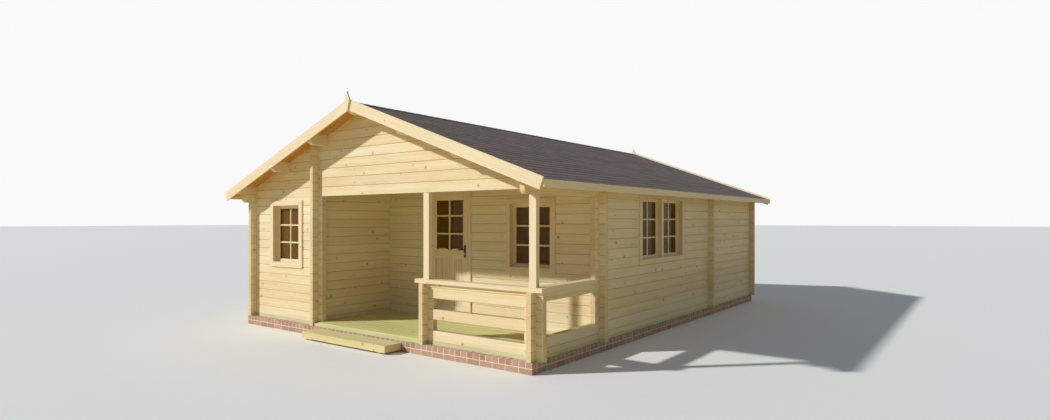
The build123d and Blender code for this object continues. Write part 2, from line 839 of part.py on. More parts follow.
# Door leaf: stiles and rails round the glass and a boarded lower panel
with BuildPart() as door_leaf:
    block(door_left, door_right, leaf_front, leaf_back, door_low, door_top)
    extrude(door_glass_outline(leaf_back), amount=door_leaf_thickness, mode=Mode.SUBTRACT)
    panel_low = door_low + door_bottom_rail
    block(glass_left, glass_right, leaf_front, leaf_front + door_panel_recess, panel_low, door_rail_bottom,
          mode=Mode.SUBTRACT)
    panel_face = leaf_front + door_panel_recess
    board_width = door_glass_width / door_panel_boards
    half_groove = door_board_groove / 2
    for joint in range(1, door_panel_boards):
        x = glass_left + joint * board_width
        with BuildSketch(Plane.XY.offset(panel_low)) as groove:
            with BuildLine():
                Polyline((x - half_groove, panel_face), (x + half_groove, panel_face),
                         (x, panel_face + half_groove), close=True)
            make_face()
        extrude(amount=door_rail_bottom - panel_low, mode=Mode.SUBTRACT)
keep("door_leaf", door_leaf)

with BuildPart() as door_glass:
    glass_middle = (leaf_front + leaf_back) / 2
    extrude(door_glass_outline(glass_middle), amount=glass_thickness)
keep("door_glass", door_glass)

# Hinges: a pin and lower barrel on the frame, an upper barrel on the leaf
hinge_x = door_left - door_gap / 2
hinge_y = leaf_front - hinge_stand_off
hinge_places = [door_low + hinge_inset, door_top - hinge_inset]
barrel = hinge_height / 2
foot_aligned = (Align.CENTER, Align.CENTER, Align.MIN)
with BuildPart() as hinge_pins:
    for z in hinge_places:
        with Locations((hinge_x, hinge_y, z - barrel)):
            Cylinder(hinge_radius, barrel - hinge_gap, align=foot_aligned)
        with Locations((hinge_x, hinge_y, z - hinge_gap)):
            Cylinder(hinge_pin_radius, barrel - hinge_cap - hinge_gap, align=foot_aligned)
        block(hinge_x - hinge_radius, opening_left, hinge_y, leaf_front, z - barrel, z - hinge_gap)
keep("hinge_pins", hinge_pins)

with BuildPart() as hinge_barrels:
    for z in hinge_places:
        with Locations((hinge_x, hinge_y, z)):
            Cylinder(hinge_radius, barrel, align=foot_aligned)
        block(door_left, hinge_x + hinge_radius, hinge_y, leaf_front, z, z + barrel)
        with Locations((hinge_x, hinge_y, z)):
            Cylinder(hinge_pin_radius + hinge_pin_clearance, barrel - hinge_cap, mode=Mode.SUBTRACT,
                     align=foot_aligned)
keep("hinge_barrels", hinge_barrels)

# Door handle: a long plate with a lever
handle_x = (glass_right + door_right) / 2
with BuildPart() as door_handle:
    plate_front = leaf_front - handle_plate_thickness
    block(handle_x - handle_plate_width / 2, handle_x + handle_plate_width / 2, plate_front, leaf_front,
          handle_height + handle_plate_above - handle_plate_height, handle_height + handle_plate_above)
    with BuildSketch(Plane.XZ.offset(-plate_front)):
        with Locations((handle_x, handle_height)):
            Circle(handle_radius)
    extrude(amount=handle_reach)
    with BuildSketch(Plane.YZ.offset(handle_x + handle_radius)):
        with Locations((plate_front - handle_reach + handle_radius, handle_height)):
            Circle(handle_radius)
    extrude(amount=-handle_length)
keep("door_handle", door_handle)
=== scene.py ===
# %% [markdown]
# # A log cabin
# The cabin is 6 m wide and 8.1 m deep, built from machined spruce logs that cross at the corners.
# Its walls, roof slopes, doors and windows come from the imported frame. This file gives each of
# them its material, and adds what is too small or too many for the solids: bricks, eased beams,
# deck boards, roof boards, shingles, glazing bars, beads and a shaped door handle.

# %% Load the frame
import bpy
import bmesh
import itertools
import math
import numpy as np
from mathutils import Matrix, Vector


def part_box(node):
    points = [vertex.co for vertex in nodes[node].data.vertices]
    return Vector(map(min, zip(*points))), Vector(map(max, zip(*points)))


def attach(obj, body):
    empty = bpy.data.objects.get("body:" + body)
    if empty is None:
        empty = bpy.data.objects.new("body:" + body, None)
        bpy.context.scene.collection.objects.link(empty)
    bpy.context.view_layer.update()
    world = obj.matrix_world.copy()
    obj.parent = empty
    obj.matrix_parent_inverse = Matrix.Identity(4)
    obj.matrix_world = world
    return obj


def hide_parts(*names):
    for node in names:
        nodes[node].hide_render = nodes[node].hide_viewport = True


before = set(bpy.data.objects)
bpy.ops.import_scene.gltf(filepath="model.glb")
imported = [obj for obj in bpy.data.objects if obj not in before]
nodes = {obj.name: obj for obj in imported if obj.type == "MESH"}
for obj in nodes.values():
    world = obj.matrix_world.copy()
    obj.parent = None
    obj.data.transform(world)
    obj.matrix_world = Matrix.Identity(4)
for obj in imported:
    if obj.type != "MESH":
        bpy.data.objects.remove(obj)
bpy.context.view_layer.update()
luck = np.random.default_rng(11)


# %% [markdown]
# ## Colours and shader nodes
# A designer reads colours as sRGB hex. The renderer works with linear light, so one function
# turns them once. A second one sets or links a node's inputs, and a third adds a node with them,
# which keeps every material below short enough to read from top to bottom.

# %% Colours
def linear(code):
    """Linear RGBA of a hex colour: ((c + 0.055) / 1.055) ** 2.4 above 0.04045, else c / 12.92."""
    srgb = np.array([int(code[place:place + 2], 16) / 255 for place in (1, 3, 5)])
    low = srgb / 12.92
    high = ((srgb + 0.055) / 1.055) ** 2.4
    return tuple(float(value) for value in np.where(srgb > 0.04045, high, low)) + (1.0,)


print("middle grey", linear("#777777"))

# %% Shader nodes
# A Mix node has two inputs for each kind of data: 4 and 5 for vectors, 6 and 7 for colours.
VECTOR_A, VECTOR_B, COLOUR_A, COLOUR_B = 4, 5, 6, 7


def set_inputs(tree, node, inputs):
    """Sets inputs to constants, or links them to a socket or a node's first shown output."""
    for key, value in inputs.items():
        if isinstance(value, bpy.types.Node):
            value = next(out for out in value.outputs if out.enabled)
        if isinstance(value, bpy.types.NodeSocket):
            tree.links.new(value, node.inputs[key])
        else:
            node.inputs[key].default_value = value


def add(tree, kind, inputs=None, **settings):
    """Adds a node, sets its properties, which show or hide its sockets, and then its inputs."""
    node = tree.nodes.new("ShaderNode" + kind)
    for key, value in settings.items():
        setattr(node, key, value)
    set_inputs(tree, node, inputs or {})
    return node


def start_material(name, roughness, metallic=0.0, ior=1.5):
    """A material with its shader's constants set: returns it, its node tree and its shader."""
    material = bpy.data.materials.new(name)
    material.use_nodes = True
    tree = material.node_tree
    shader = tree.nodes["Principled BSDF"]
    set_inputs(tree, shader, {"Roughness": roughness, "Metallic": metallic, "IOR": ior})
    return material, tree, shader


# %% [markdown]
# ## Timber
# Planed spruce shows where the saw cut through the tree's yearly rings: pale wide earlywood and
# thin darker latewood, in long arches, with a round knot wherever a branch started. A picture of
# wood would repeat, so the pattern is worked out instead. For a log, the rings are bands of the
# distance from its pith, a line that wanders slowly along the log. For a sawn board, they are
# level lines of a noise stretched along the grain. Each log or board has its own seed, which
# moves the pattern along and changes its tone.

# %% Grain direction
ALONG_X, ALONG_Y, UPRIGHT = (0, 0, 0), (0, 0, -90), (0, 90, 0)


def turned(tree, vector, turn):
    """The vector turned by three angles in degrees, so that its first part runs along the grain."""
    angles = [math.radians(angle) for angle in turn]
    return add(tree, "Mapping", {"Vector": vector, "Rotation": angles})


def between(tree, value, low, high):
    """1 where the value is no further than (high - low) / 2 from the middle of low and high."""
    middle, half = (low + high) / 2, (high - low) / 2
    return add(tree, "Math", {0: value, 1: middle, 2: half}, operation="COMPARE")


def rail_mask(tree, place, rails, span):
    """1 where a height lies in one of the rails, given as (low, high), and x lies within span."""
    axes = add(tree, "SeparateXYZ", {0: place})
    mask = 0.0
    for low, high in rails:
        inside = between(tree, axes.outputs["Z"], low, high)
        mask = add(tree, "Math", {0: inside, 1: mask}, operation="MAXIMUM")
    if span:
        within = between(tree, axes.outputs["X"], *span)
        mask = add(tree, "Math", {0: mask, 1: within}, operation="MULTIPLY")
    return mask


# %% Growth rings
RING_WIDTH = 0.011  # spruce rings are about 4 mm wide, drawn coarser so that they show at 10 m
LATEWOOD_POWER = 2.5  # the higher, the thinner is the dark part of a ring
BOARD_SLANT = 0.4  # a sawn board cuts the rings at a slant, which makes them wider on its face
PITH_WANDER, KNOT_BEND = 0.06, 0.008
FAR = 1.0  # in metres, further than any face lies from the middle of its wall


def log_rings(tree, axes, up, wander, middles):
    """Distance from the pith: the root of (depth from the wall's middle squared + height squared).

    The depth is taken from the nearest of the walls' middle planes. The height is measured from
    the middle of the log and moved by the wander.
    """
    depth = FAR
    for middle in middles:
        apart = add(tree, "Math", {0: axes.outputs["Y"], 1: middle}, operation="SUBTRACT")
        size = add(tree, "Math", {0: apart}, operation="ABSOLUTE")
        depth = add(tree, "Math", {0: size, 1: depth}, operation="MINIMUM")
    height = add(tree, "Math", {0: up, 1: wander}, operation="ADD")
    flat = add(tree, "CombineXYZ", {"X": depth, "Y": height})
    return add(tree, "VectorMath", {0: flat}, operation="LENGTH").outputs["Value"]


def board_rings(tree, axes, wander):
    """Ring distance on a sawn board: the place across it times its slant, plus the wander."""
    across = add(tree, "Math", {0: axes.outputs["Y"], 1: axes.outputs["Z"]}, operation="ADD")
    return add(tree, "Math", {0: across, 1: BOARD_SLANT, 2: wander}, operation="MULTIPLY_ADD")


# %% Knots
KNOT_CELL, KNOT_SHARE = 0.25, 0.24  # one scattered point in each 250 mm cell, and those kept
KNOT_SMALL, KNOT_SPREAD = 0.022, 0.04  # radii in cells: from 5 mm up to 15 mm
KNOT_EDGE, HALO_EDGE = (1.3, 0.6), (3.0, 0.9)  # where knot and halo start and are full, in radii


def knot_masks(tree, along, axes, share):
    """The knot and the halo round it, from the distance to a scattered point over its radius.

    A knot is a branch cut across. About four of them lie in a square metre of log.
    """
    across = add(tree, "Math", {0: axes.outputs["Y"], 1: axes.outputs["Z"]}, operation="ADD")
    flat = add(tree, "CombineXYZ", {"X": along, "Y": across})
    cells = add(tree, "TexVoronoi", {"Vector": flat, "Scale": 1 / KNOT_CELL},
                voronoi_dimensions="2D")
    chance = add(tree, "SeparateColor", {0: cells.outputs["Color"]})
    kept = add(tree, "Math", {0: chance.outputs["Red"], 1: share}, operation="LESS_THAN")
    radius = add(tree, "Math", {0: chance.outputs["Green"], 1: KNOT_SPREAD, 2: KNOT_SMALL},
                 operation="MULTIPLY_ADD")
    ratio = add(tree, "Math", {0: cells.outputs["Distance"], 1: radius}, operation="DIVIDE")
    masks = []
    for outer, inner in (KNOT_EDGE, HALO_EDGE):
        edge = add(tree, "MapRange", {"Value": ratio, "From Min": outer, "From Max": inner},
                   interpolation_type="SMOOTHSTEP")
        masks.append(add(tree, "Math", {0: edge, 1: kept}, operation="MULTIPLY"))
    return masks


# %% Rings, fibres and patches
# Each noise is stretched along the grain: its waves are one over these scales, in metres. The
# fibres are 110 mm long and 3 mm wide, coarser than real ones, so that they show.
SLOW_SCALE, FIBRE_SCALE, PATCH_SCALE = (0.5, 3.0, 3.0), (9.0, 300.0, 300.0), (1.2, 14.0, 14.0)


def stretched_noise(tree, moved, scale, **inputs):
    """Noise of the moved point times the scale."""
    scaled = add(tree, "VectorMath", {0: moved, 1: scale}, operation="MULTIPLY")
    return add(tree, "TexNoise", {"Vector": scaled, "Scale": 1.0, **inputs})


def grain_pattern(tree, axes, moved, up, halo, middles):
    """Latewood, fibres and patches of tone.

    Latewood is the fraction of (ring distance / ring width) to a power. The ring distance is bent
    by a slow noise, and by a few millimetres round each knot.
    """
    drift = stretched_noise(tree, moved, SLOW_SCALE, Detail=2.0, Roughness=0.4)
    wander = add(tree, "MapRange", {"Value": drift, "To Min": -PITH_WANDER, "To Max": PITH_WANDER})
    wander = add(tree, "Math", {0: halo, 1: KNOT_BEND, 2: wander}, operation="MULTIPLY_ADD")
    if middles:
        distance = log_rings(tree, axes, up, wander, middles)
    else:
        distance = board_rings(tree, axes, wander)
    bands = add(tree, "Math", {0: distance, 1: RING_WIDTH}, operation="DIVIDE")
    band = add(tree, "Math", {0: bands}, operation="FRACT")
    late = add(tree, "Math", {0: band, 1: LATEWOOD_POWER}, operation="POWER")
    fibre = stretched_noise(tree, moved, FIBRE_SCALE, Detail=2.0)
    patch = stretched_noise(tree, moved, PATCH_SCALE, Detail=3.0)
    return late, fibre, patch


# %% Colour of planed wood
# The halo brown also colours the cut ends, and is more orange there as painted bounce light.
KNOT_BROWN, HALO_AND_BOUNCE_BROWN, JOINT_AND_GROOVE_SHADE_BROWN = linear("#7C5029"), linear("#C28A42"), linear("#6E4822")
LATE_TONE, FIBRE_TONE, PATCH_TONE, BOARD_TONE = 0.4, 0.26, (-0.1, 0.26), 0.3
AGED_SHARE, HALO_SHARE, KNOT_STRENGTH = 0.2, 0.35, 0.58
NOISE_RANGE = {"From Min": 0.3, "From Max": 0.7}  # nearly all of a noise lies between these


def wood_colour(tree, colours, pattern, chances, knot, halo):
    """The pale colour turned towards the deep one, then towards brown.

    The first share is latewood, fibre, patch and board, each times its tone and added up. A board
    is aged by up to a fifth. The halo and the knot are browner still.
    """
    late, fibre, patch = pattern
    depth = add(tree, "MapRange", {"Value": fibre, **NOISE_RANGE, "To Max": FIBRE_TONE})
    depth = add(tree, "Math", {0: late, 1: LATE_TONE, 2: depth}, operation="MULTIPLY_ADD")
    tone = add(tree, "MapRange", {"Value": patch, **NOISE_RANGE, "To Min": PATCH_TONE[0],
                                  "To Max": PATCH_TONE[1]})
    depth = add(tree, "Math", {0: depth, 1: tone}, operation="ADD")
    depth = add(tree, "Math", {0: chances.outputs["Green"], 1: BOARD_TONE, 2: depth},
                operation="MULTIPLY_ADD", use_clamp=True)
    pale, deep = (linear(colour) for colour in colours)
    colour = add(tree, "Mix", {0: depth, COLOUR_A: pale, COLOUR_B: deep}, data_type="RGBA")
    aged = add(tree, "MapRange", {"Value": chances.outputs["Blue"], "To Max": AGED_SHARE})
    soft = add(tree, "Math", {0: halo, 1: HALO_SHARE}, operation="MULTIPLY")
    strong = add(tree, "Math", {0: knot, 1: KNOT_STRENGTH}, operation="MULTIPLY")
    for share, brown in ((aged, HALO_AND_BOUNCE_BROWN), (soft, HALO_AND_BOUNCE_BROWN), (strong, KNOT_BROWN)):
        colour = add(tree, "Mix", {0: share, COLOUR_A: colour, COLOUR_B: brown}, data_type="RGBA")
    return colour


# %% Cut ends and joints
END_FACES = {"From Min": 0.7, "From Max": 0.9}  # how far the normal lies along the grain
# The end tone is the real browner end grain, raised as painted warm bounce light on log ends.
END_AND_BOUNCE_TONE, END_RINGS, END_JOINT = 0.6, (0.9, 0.25), 0.4
# The joint line's brown is partly the joint itself and partly painted shade in its groove.
JOINT_FADE, JOINT_TONE, JOINT_RELIEF = (1.6, 0.7), 0.5, -3.0


def cut_ends(tree, normal, turn, late, colour):
    """Colour of the cut ends, and how strong a joint is there.

    End grain drinks light, so it looks browner, most in the latewood. Its brown is made warmer and
    stronger still as painted bounce light, for the warm light on the shaded sides of log ends. A
    face is an end where its normal lies along the grain. A joint shows less there, because the ends
    are darker already.
    """
    toward = add(tree, "SeparateXYZ", {0: turned(tree, normal, turn)}).outputs["X"]
    straight = add(tree, "Math", {0: toward}, operation="ABSOLUTE")
    cut = add(tree, "MapRange", {"Value": straight, **END_FACES, "To Max": END_AND_BOUNCE_TONE})
    rings = add(tree, "Math", {0: late, 1: END_RINGS[0], 2: END_RINGS[1]},
                operation="MULTIPLY_ADD")
    cut = add(tree, "Math", {0: cut, 1: rings}, operation="MULTIPLY")
    colour = add(tree, "Mix", {0: cut, COLOUR_A: colour, COLOUR_B: HALO_AND_BOUNCE_BROWN}, data_type="RGBA")
    jointed = add(tree, "MapRange", {"Value": straight, **END_FACES, "To Min": 1.0,
                                     "To Max": END_JOINT})
    return colour, jointed


def joint_lines(tree, level, half_width, jointed, colour, relief):
    """Colour and relief with a thin dark line at each whole level.

    The line is partly the dark joint itself and partly painted shade in the groove. It fades with
    the distance to the nearest whole level, between two shares of its half width. Both are measured
    in courses.
    """
    outer, inner = JOINT_FADE
    nearest = add(tree, "Math", {0: level, 1: 0.5}, operation="PINGPONG")
    gap = add(tree, "MapRange", {"Value": nearest, "From Min": outer * half_width,
                                 "From Max": inner * half_width, "To Max": JOINT_TONE})
    gap = add(tree, "Math", {0: gap, 1: jointed}, operation="MULTIPLY")
    colour = add(tree, "Mix", {0: gap, COLOUR_A: colour, COLOUR_B: JOINT_AND_GROOVE_SHADE_BROWN}, data_type="RGBA")
    relief = add(tree, "Math", {0: gap, 1: JOINT_RELIEF, 2: relief}, operation="MULTIPLY_ADD")
    return colour, relief


# %% Grain axes and courses
def grain_axes(tree, place, turn, rails, rail_turn, span):
    """The parts of a point along and across the grain, which turns in the rails of a frame."""
    grain = turned(tree, place, turn)
    if rails:
        level_grain = turned(tree, place, rail_turn)
        grain = add(tree, "Mix", {0: rail_mask(tree, place, rails, span), VECTOR_A: grain,
                                  VECTOR_B: level_grain}, data_type="VECTOR")
    return add(tree, "SeparateXYZ", {0: grain})


def split_courses(tree, place, up, seed, course, area):
    """Which log a point lies in: its level, its seed, its height in the log and its joints.

    The level is (height - lowest joint) / log height. Its whole part is added to the seed. Its
    fraction less a half, times the log's height, is the height from the middle of the log. Where
    an area alone is jointed, as on the door's panel, the heights stay whole.
    """
    low, height = course
    jointed = rail_mask(tree, place, *area) if area else 1.0
    level = add(tree, "Math", {0: up, 1: 1 / height, 2: -low / height}, operation="MULTIPLY_ADD")
    row = add(tree, "Math", {0: level}, operation="FLOOR")
    seed = add(tree, "Math", {0: row, 1: jointed, 2: seed}, operation="MULTIPLY_ADD")
    if not area:
        part = add(tree, "Math", {0: level}, operation="FRACT")
        up = add(tree, "Math", {0: part, 1: height, 2: -height / 2}, operation="MULTIPLY_ADD")
    return level, seed, up, jointed


# %% The timber material
SEED_SHIFT = 17.0  # metres, so that no two boards show the same stretch of the pattern
GLOSS_LOW, GLOSS_HIGH = 0.1, 0.12  # fibres make the roughness swing by this much
LATE_RELIEF, GRAIN_STRENGTH, GRAIN_DEPTH = 0.5, 0.35, 0.0008


def timber(name, colours, turn=ALONG_X, course=None, middles=(), rails=(), rail_turn=ALONG_X,
           span=None, knots=KNOT_SHARE, joint=0.0, area=None, ends=False, roughness=0.6):
    """Planed timber of two colours, earlywood and latewood, with its grain along the turned axis.

    course is the lowest joint and the height of a log, middles the walls' middle planes, rails the
    heights at which a frame's grain turns, within span, joint the half width of the line at each
    joint, area the heights and the span that alone are jointed, and ends adds end grain. A board's
    seed moves the pattern along the grain, by up to the seed shift.
    """
    material, tree, shader = start_material(name, roughness)
    coordinates = add(tree, "TexCoord")
    place = coordinates.outputs["Object"]
    axes = grain_axes(tree, place, turn, rails, rail_turn, span)
    up = axes.outputs["Z"]
    seed = add(tree, "Attribute", attribute_name="board").outputs["Fac"]
    if course:
        level, seed, up, jointed = split_courses(tree, place, up, seed, course, area)
    chance = add(tree, "TexWhiteNoise", {"W": seed}, noise_dimensions="1D")
    chances = add(tree, "SeparateColor", {0: chance.outputs["Color"]})
    along = add(tree, "Math", {0: chance.outputs["Value"], 1: SEED_SHIFT, 2: axes.outputs["X"]},
                operation="MULTIPLY_ADD")
    moved = add(tree, "CombineXYZ", {"X": along, "Y": axes.outputs["Y"], "Z": up})

    knot, halo = knot_masks(tree, along, axes, knots)
    pattern = grain_pattern(tree, axes, moved, up, halo, middles)
    late, fibre = pattern[:2]
    colour = wood_colour(tree, colours, pattern, chances, knot, halo)
    relief = add(tree, "Math", {0: late, 1: LATE_RELIEF, 2: fibre}, operation="MULTIPLY_ADD")
    if ends:
        colour, jointed = cut_ends(tree, coordinates.outputs["Normal"], turn, late, colour)
    if joint:
        colour, relief = joint_lines(tree, level, joint / course[1], jointed, colour, relief)
    dull = add(tree, "MapRange", {"Value": fibre, "To Min": roughness - GLOSS_LOW,
                                  "To Max": roughness + GLOSS_HIGH})
    bump = add(tree, "Bump", {"Height": relief, "Strength": GRAIN_STRENGTH,
                              "Distance": GRAIN_DEPTH})
    set_inputs(tree, shader, {"Base Color": colour, "Roughness": dull, "Normal": bump})
    return material


# %% [markdown]
# ## The timbers of the cabin
# New spruce is a pale cream that yellows first in the latewood. Logs show end grain where they
# cross, browner in itself and warmer still from painted bounce light on shaded log ends, and a
# thin dark line at each joint, partly the joint itself and partly painted shade in its groove.
# Posts, frames and trim are sawn boards, with their grain along the longer side. The base beams,
# deck and step are pressure treated, which turns spruce a pale olive green. The deck is the
# greenest, and feet have worn the step paler. The roof boards are seen only from below, and their
# colour is painted shade: deeper and more orange, for the warm light that comes off the sunlit
# walls under the eaves. One function makes them all, so that a change of the wood is made once.

# %% Courses, walls and frames
# The lowest joint and the height of a log, and the middles of the walls, in metres.
LOG_HEIGHT, LOG_DEPTH = 0.14, 0.07
COURSES_ACROSS, COURSES_ALONG = (0.185, LOG_HEIGHT), (0.255, LOG_HEIGHT)
WALLS_ACROSS, WALLS_ALONG = (0.035, 1.49, 5.575, 8.065), (-2.965, -1.2, 1.2, 2.965)
ROOF_PITCH = 20.2
# The rails of the window frames and the door, where the grain lies level.
SINGLE_RAILS, PAIR_RAILS = ((1.0, 1.124), (1.978, 2.1)), ((1.095, 1.219), (2.073, 2.195))
DOOR_RAILS, DOOR_SPAN = ((0.2, 0.385), (1.159, 1.315), (2.106, 2.204)), (-0.059, 0.541)
SURROUND_RAILS = ((2.245, 2.4),)
# The door's lower panel shows a line every 50 mm. Its solid has only every second one, as a V.
DOOR_PANEL, PANEL_BOARDS = ((0.385, 1.159),), (0.059, 0.05)
FLOOR_FLAT, FLOOR_BOARDS = (90, 0, 0), (0.0, 0.12)  # the floor's boards lie side by side along y
LOG_JOINT, DOOR_JOINT, FLOOR_JOINT = 0.002, 0.0018, 0.0012  # half the width of a joint's line
JOINERY_KNOTS = 0.07  # joinery is cut from clearer wood than logs
print("lowest joints at", COURSES_ACROSS[0], "m across and", COURSES_ALONG[0], "m along")

# %% Spruce: planed logs and joinery, pale with a soft sheen
SPRUCE, JOINERY = ("#F4ECCC", "#DCC392"), ("#F5E8CA", "#E1C697")
GLAZING_BARS_PAINTED_LIGHT, ROOF_BOARD_PAINTED_SHADE_COLOURS = ("#FDF0D2", "#EDD5A6"), ("#E0A450", "#B0752C")
logs_across = timber("spruce_logs_across", SPRUCE, ALONG_X, COURSES_ACROSS, WALLS_ACROSS,
                     joint=LOG_JOINT, ends=True)
logs_along = timber("spruce_logs_along", SPRUCE, ALONG_Y, COURSES_ALONG, WALLS_ALONG,
                    joint=LOG_JOINT, ends=True)
beams_along = timber("spruce_beams", SPRUCE, ALONG_Y, ends=True)
floor_boards = timber("spruce_floor_boards", SPRUCE, FLOOR_FLAT, FLOOR_BOARDS, joint=FLOOR_JOINT)
posts = timber("spruce_posts", JOINERY, UPRIGHT, ends=True)
single_frames = timber("spruce_window_frames_across", JOINERY, UPRIGHT, rails=SINGLE_RAILS,
                       knots=JOINERY_KNOTS)
pair_frames = timber("spruce_window_frames_along", JOINERY, UPRIGHT, rails=PAIR_RAILS,
                     rail_turn=ALONG_Y, knots=JOINERY_KNOTS)
door_timber = timber("spruce_door", JOINERY, UPRIGHT, PANEL_BOARDS, rails=DOOR_RAILS,
                     span=DOOR_SPAN, knots=JOINERY_KNOTS, joint=DOOR_JOINT,
                     area=(DOOR_PANEL, DOOR_SPAN))
door_surround = timber("spruce_door_frame", JOINERY, UPRIGHT, rails=SURROUND_RAILS,
                       knots=JOINERY_KNOTS)
rail_across = timber("spruce_handrail_across", JOINERY, ALONG_X)
rail_along = timber("spruce_handrail_along", JOINERY, ALONG_Y)
barge_left = timber("spruce_barge_left", JOINERY, (0, ROOF_PITCH, 0))
barge_right = timber("spruce_barge_right", JOINERY, (0, -ROOF_PITCH, 0))
finial_timber = timber("spruce_finial", JOINERY, UPRIGHT, knots=0.0)
# The glazing bars are painted paler than the other joinery, as painted light for the sun on them.
bar_timber = timber("spruce_glazing_bars", GLAZING_BARS_PAINTED_LIGHT, UPRIGHT, knots=0.0)
# The roof boards' colours are painted shade: deeper and more orange, for the warm light under the
# eaves.
painted_shade_roof_timber = {side: timber(f"spruce_roof_boards_in_painted_shade_{side}", ROOF_BOARD_PAINTED_SHADE_COLOURS, (0, pitch, 0))
                   for side, pitch in (("left", ROOF_PITCH), ("right", -ROOF_PITCH))}
print(len(bpy.data.materials), "spruce materials")

# %% Treated spruce, dull and green, and oiled oak, brown with a low gloss
TREATED, TREATED_DULL, OILED_DULL = ("#DBDFB2", "#B6BF80"), 0.7, 0.45
treated_across = timber("treated_timber_across", TREATED, ALONG_X, roughness=TREATED_DULL)
treated_along = timber("treated_timber_along", TREATED, ALONG_Y, roughness=TREATED_DULL)
treated_deck = timber("treated_timber_deck", ("#E3E4A2", "#B6B768"), roughness=TREATED_DULL)
treated_step = timber("treated_timber_step", ("#E6DDAE", "#C8BE80"), roughness=TREATED_DULL)
oiled_oak = timber("oak_oiled", ("#8A6238", "#5E3D1E"), knots=0.0, roughness=OILED_DULL)
print(len(bpy.data.materials), "timber materials in all")


# %% [markdown]
# ## Brick, mortar, roofing, glass and metal
# A facing brick is fired clay: no two are quite one colour, and the face is creased and pitted.
# Mortar is sand and lime. Bitumen shingles carry a dress of crushed slate. A picture of each
# would repeat, so noise draws them. One function serves all three, because they differ only in
# colour and grit. Each pattern starts from its grit, drawn coarser where the grit itself would be
# too fine for the picture. Metal and glass need little more than their gloss and a faint cloud.

# %% Masonry
CLOUD_SCALE = 14.0  # blotches of about 70 mm, near the height of a brick
PIT_SPACING = 2.5  # pits lie 2.5 grits apart
GRIT_ROUGHNESS, GRIT_STRENGTH = 0.7, 0.6
BLOTCH = {"From Min": 0.45, "From Max": 0.7, "To Max": 0.5}
SPECK = {"From Min": 0.35, "From Max": 0.65, "To Min": 0.72, "To Max": 1.16}
PIT = {"From Max": 0.25, "To Min": -0.5, "To Max": 0.0}


def masonry(name, colours, grit, roughness, depth):
    """Mineral surface: two tones by a seed for each unit, a third in blotches, and grit as bump."""
    material, tree, shader = start_material(name, roughness)
    place = add(tree, "TexCoord").outputs["Object"]
    seed = add(tree, "Attribute", attribute_name="board").outputs["Fac"]
    chance = add(tree, "TexWhiteNoise", {"W": seed}, noise_dimensions="1D")
    chances = add(tree, "SeparateColor", {0: chance.outputs["Color"]})
    clouds = add(tree, "TexNoise", {"Vector": place, "Scale": CLOUD_SCALE, "Detail": 3.0})
    grains = add(tree, "TexNoise", {"Vector": place, "Scale": 1 / grit, "Detail": 2.0,
                                    "Roughness": GRIT_ROUGHNESS})
    pits = add(tree, "TexVoronoi", {"Vector": place, "Scale": 1 / (PIT_SPACING * grit)})
    first, second, third = (linear(colour) for colour in colours)
    unit = add(tree, "Mix", {0: chances.outputs["Red"], COLOUR_A: first, COLOUR_B: second},
               data_type="RGBA")
    blotch = add(tree, "MapRange", {"Value": clouds, **BLOTCH})
    unit = add(tree, "Mix", {0: blotch, COLOUR_A: unit, COLOUR_B: third}, data_type="RGBA")
    speck = add(tree, "MapRange", {"Value": grains, **SPECK})
    colour = add(tree, "VectorMath", {0: unit, "Scale": speck}, operation="SCALE")
    hollow = add(tree, "MapRange", {"Value": pits.outputs["Distance"], **PIT})
    relief = add(tree, "Math", {0: grains, 1: hollow}, operation="ADD")
    bump = add(tree, "Bump", {"Height": relief, "Strength": GRIT_STRENGTH, "Distance": depth})
    set_inputs(tree, shader, {"Base Color": colour, "Normal": bump})
    return material


# Fired clay is matt, and its bricks differ in tone. Mortar is rougher, paler and even. A dress of
# slate is dark and sparkles little. The grit of all three is under 2 mm and is drawn coarser.
brick_clay = masonry("brick_fired_clay", ("#C29F8B", "#A67F70", "#BDA896"), grit=0.004,
                     roughness=0.9, depth=0.0012)
mortar_lime = masonry("mortar_lime", ("#F3E0CF", "#F3E0CF", "#DFCBB8"), grit=0.003,
                      roughness=0.95, depth=0.0008)
shingle_slate = masonry("bitumen_shingle_slate", ("#655752", "#473D39", "#6A5C54"), grit=0.006,
                        roughness=0.92, depth=0.001)
print("made", brick_clay.name, mortar_lime.name, shingle_slate.name)


# %% Metals
def coated_steel():
    """Powder coated steel: an even dark skin with the waves of a baked coat, 1 to 2 mm apart."""
    material, tree, shader = start_material("steel_powder_coated", roughness=0.38)
    place = add(tree, "TexCoord").outputs["Object"]
    waves = add(tree, "TexNoise", {"Vector": place, "Scale": 700.0, "Detail": 1.0})
    wear = add(tree, "TexNoise", {"Vector": place, "Scale": 60.0, "Detail": 3.0})
    tone = add(tree, "Mix", {0: wear, COLOUR_A: linear("#1B1917"), COLOUR_B: linear("#2C2926")},
               data_type="RGBA")
    dull = add(tree, "MapRange", {"Value": wear, "To Min": 0.3, "To Max": 0.48})
    bump = add(tree, "Bump", {"Height": waves, "Strength": 0.15, "Distance": 0.0002})
    set_inputs(tree, shader, {"Base Color": tone, "Roughness": dull, "Normal": bump})
    return material


def zinc_plate():
    """Zinc plated steel: a grey metal whose crystals, about 4 mm wide, differ a little in gloss."""
    material, tree, shader = start_material("steel_zinc_plated", roughness=0.35, metallic=1.0)
    place = add(tree, "TexCoord").outputs["Object"]
    crystals = add(tree, "TexVoronoi", {"Vector": place, "Scale": 250.0})
    chance = add(tree, "SeparateColor", {0: crystals.outputs["Color"]})
    tone = add(tree, "Mix", {0: chance.outputs["Red"], COLOUR_A: linear("#9A9B9A"),
                             COLOUR_B: linear("#B9BAB8")}, data_type="RGBA")
    dull = add(tree, "MapRange", {"Value": chance.outputs["Green"], "To Min": 0.28,
                                  "To Max": 0.45})
    set_inputs(tree, shader, {"Base Color": tone, "Roughness": dull})
    return material


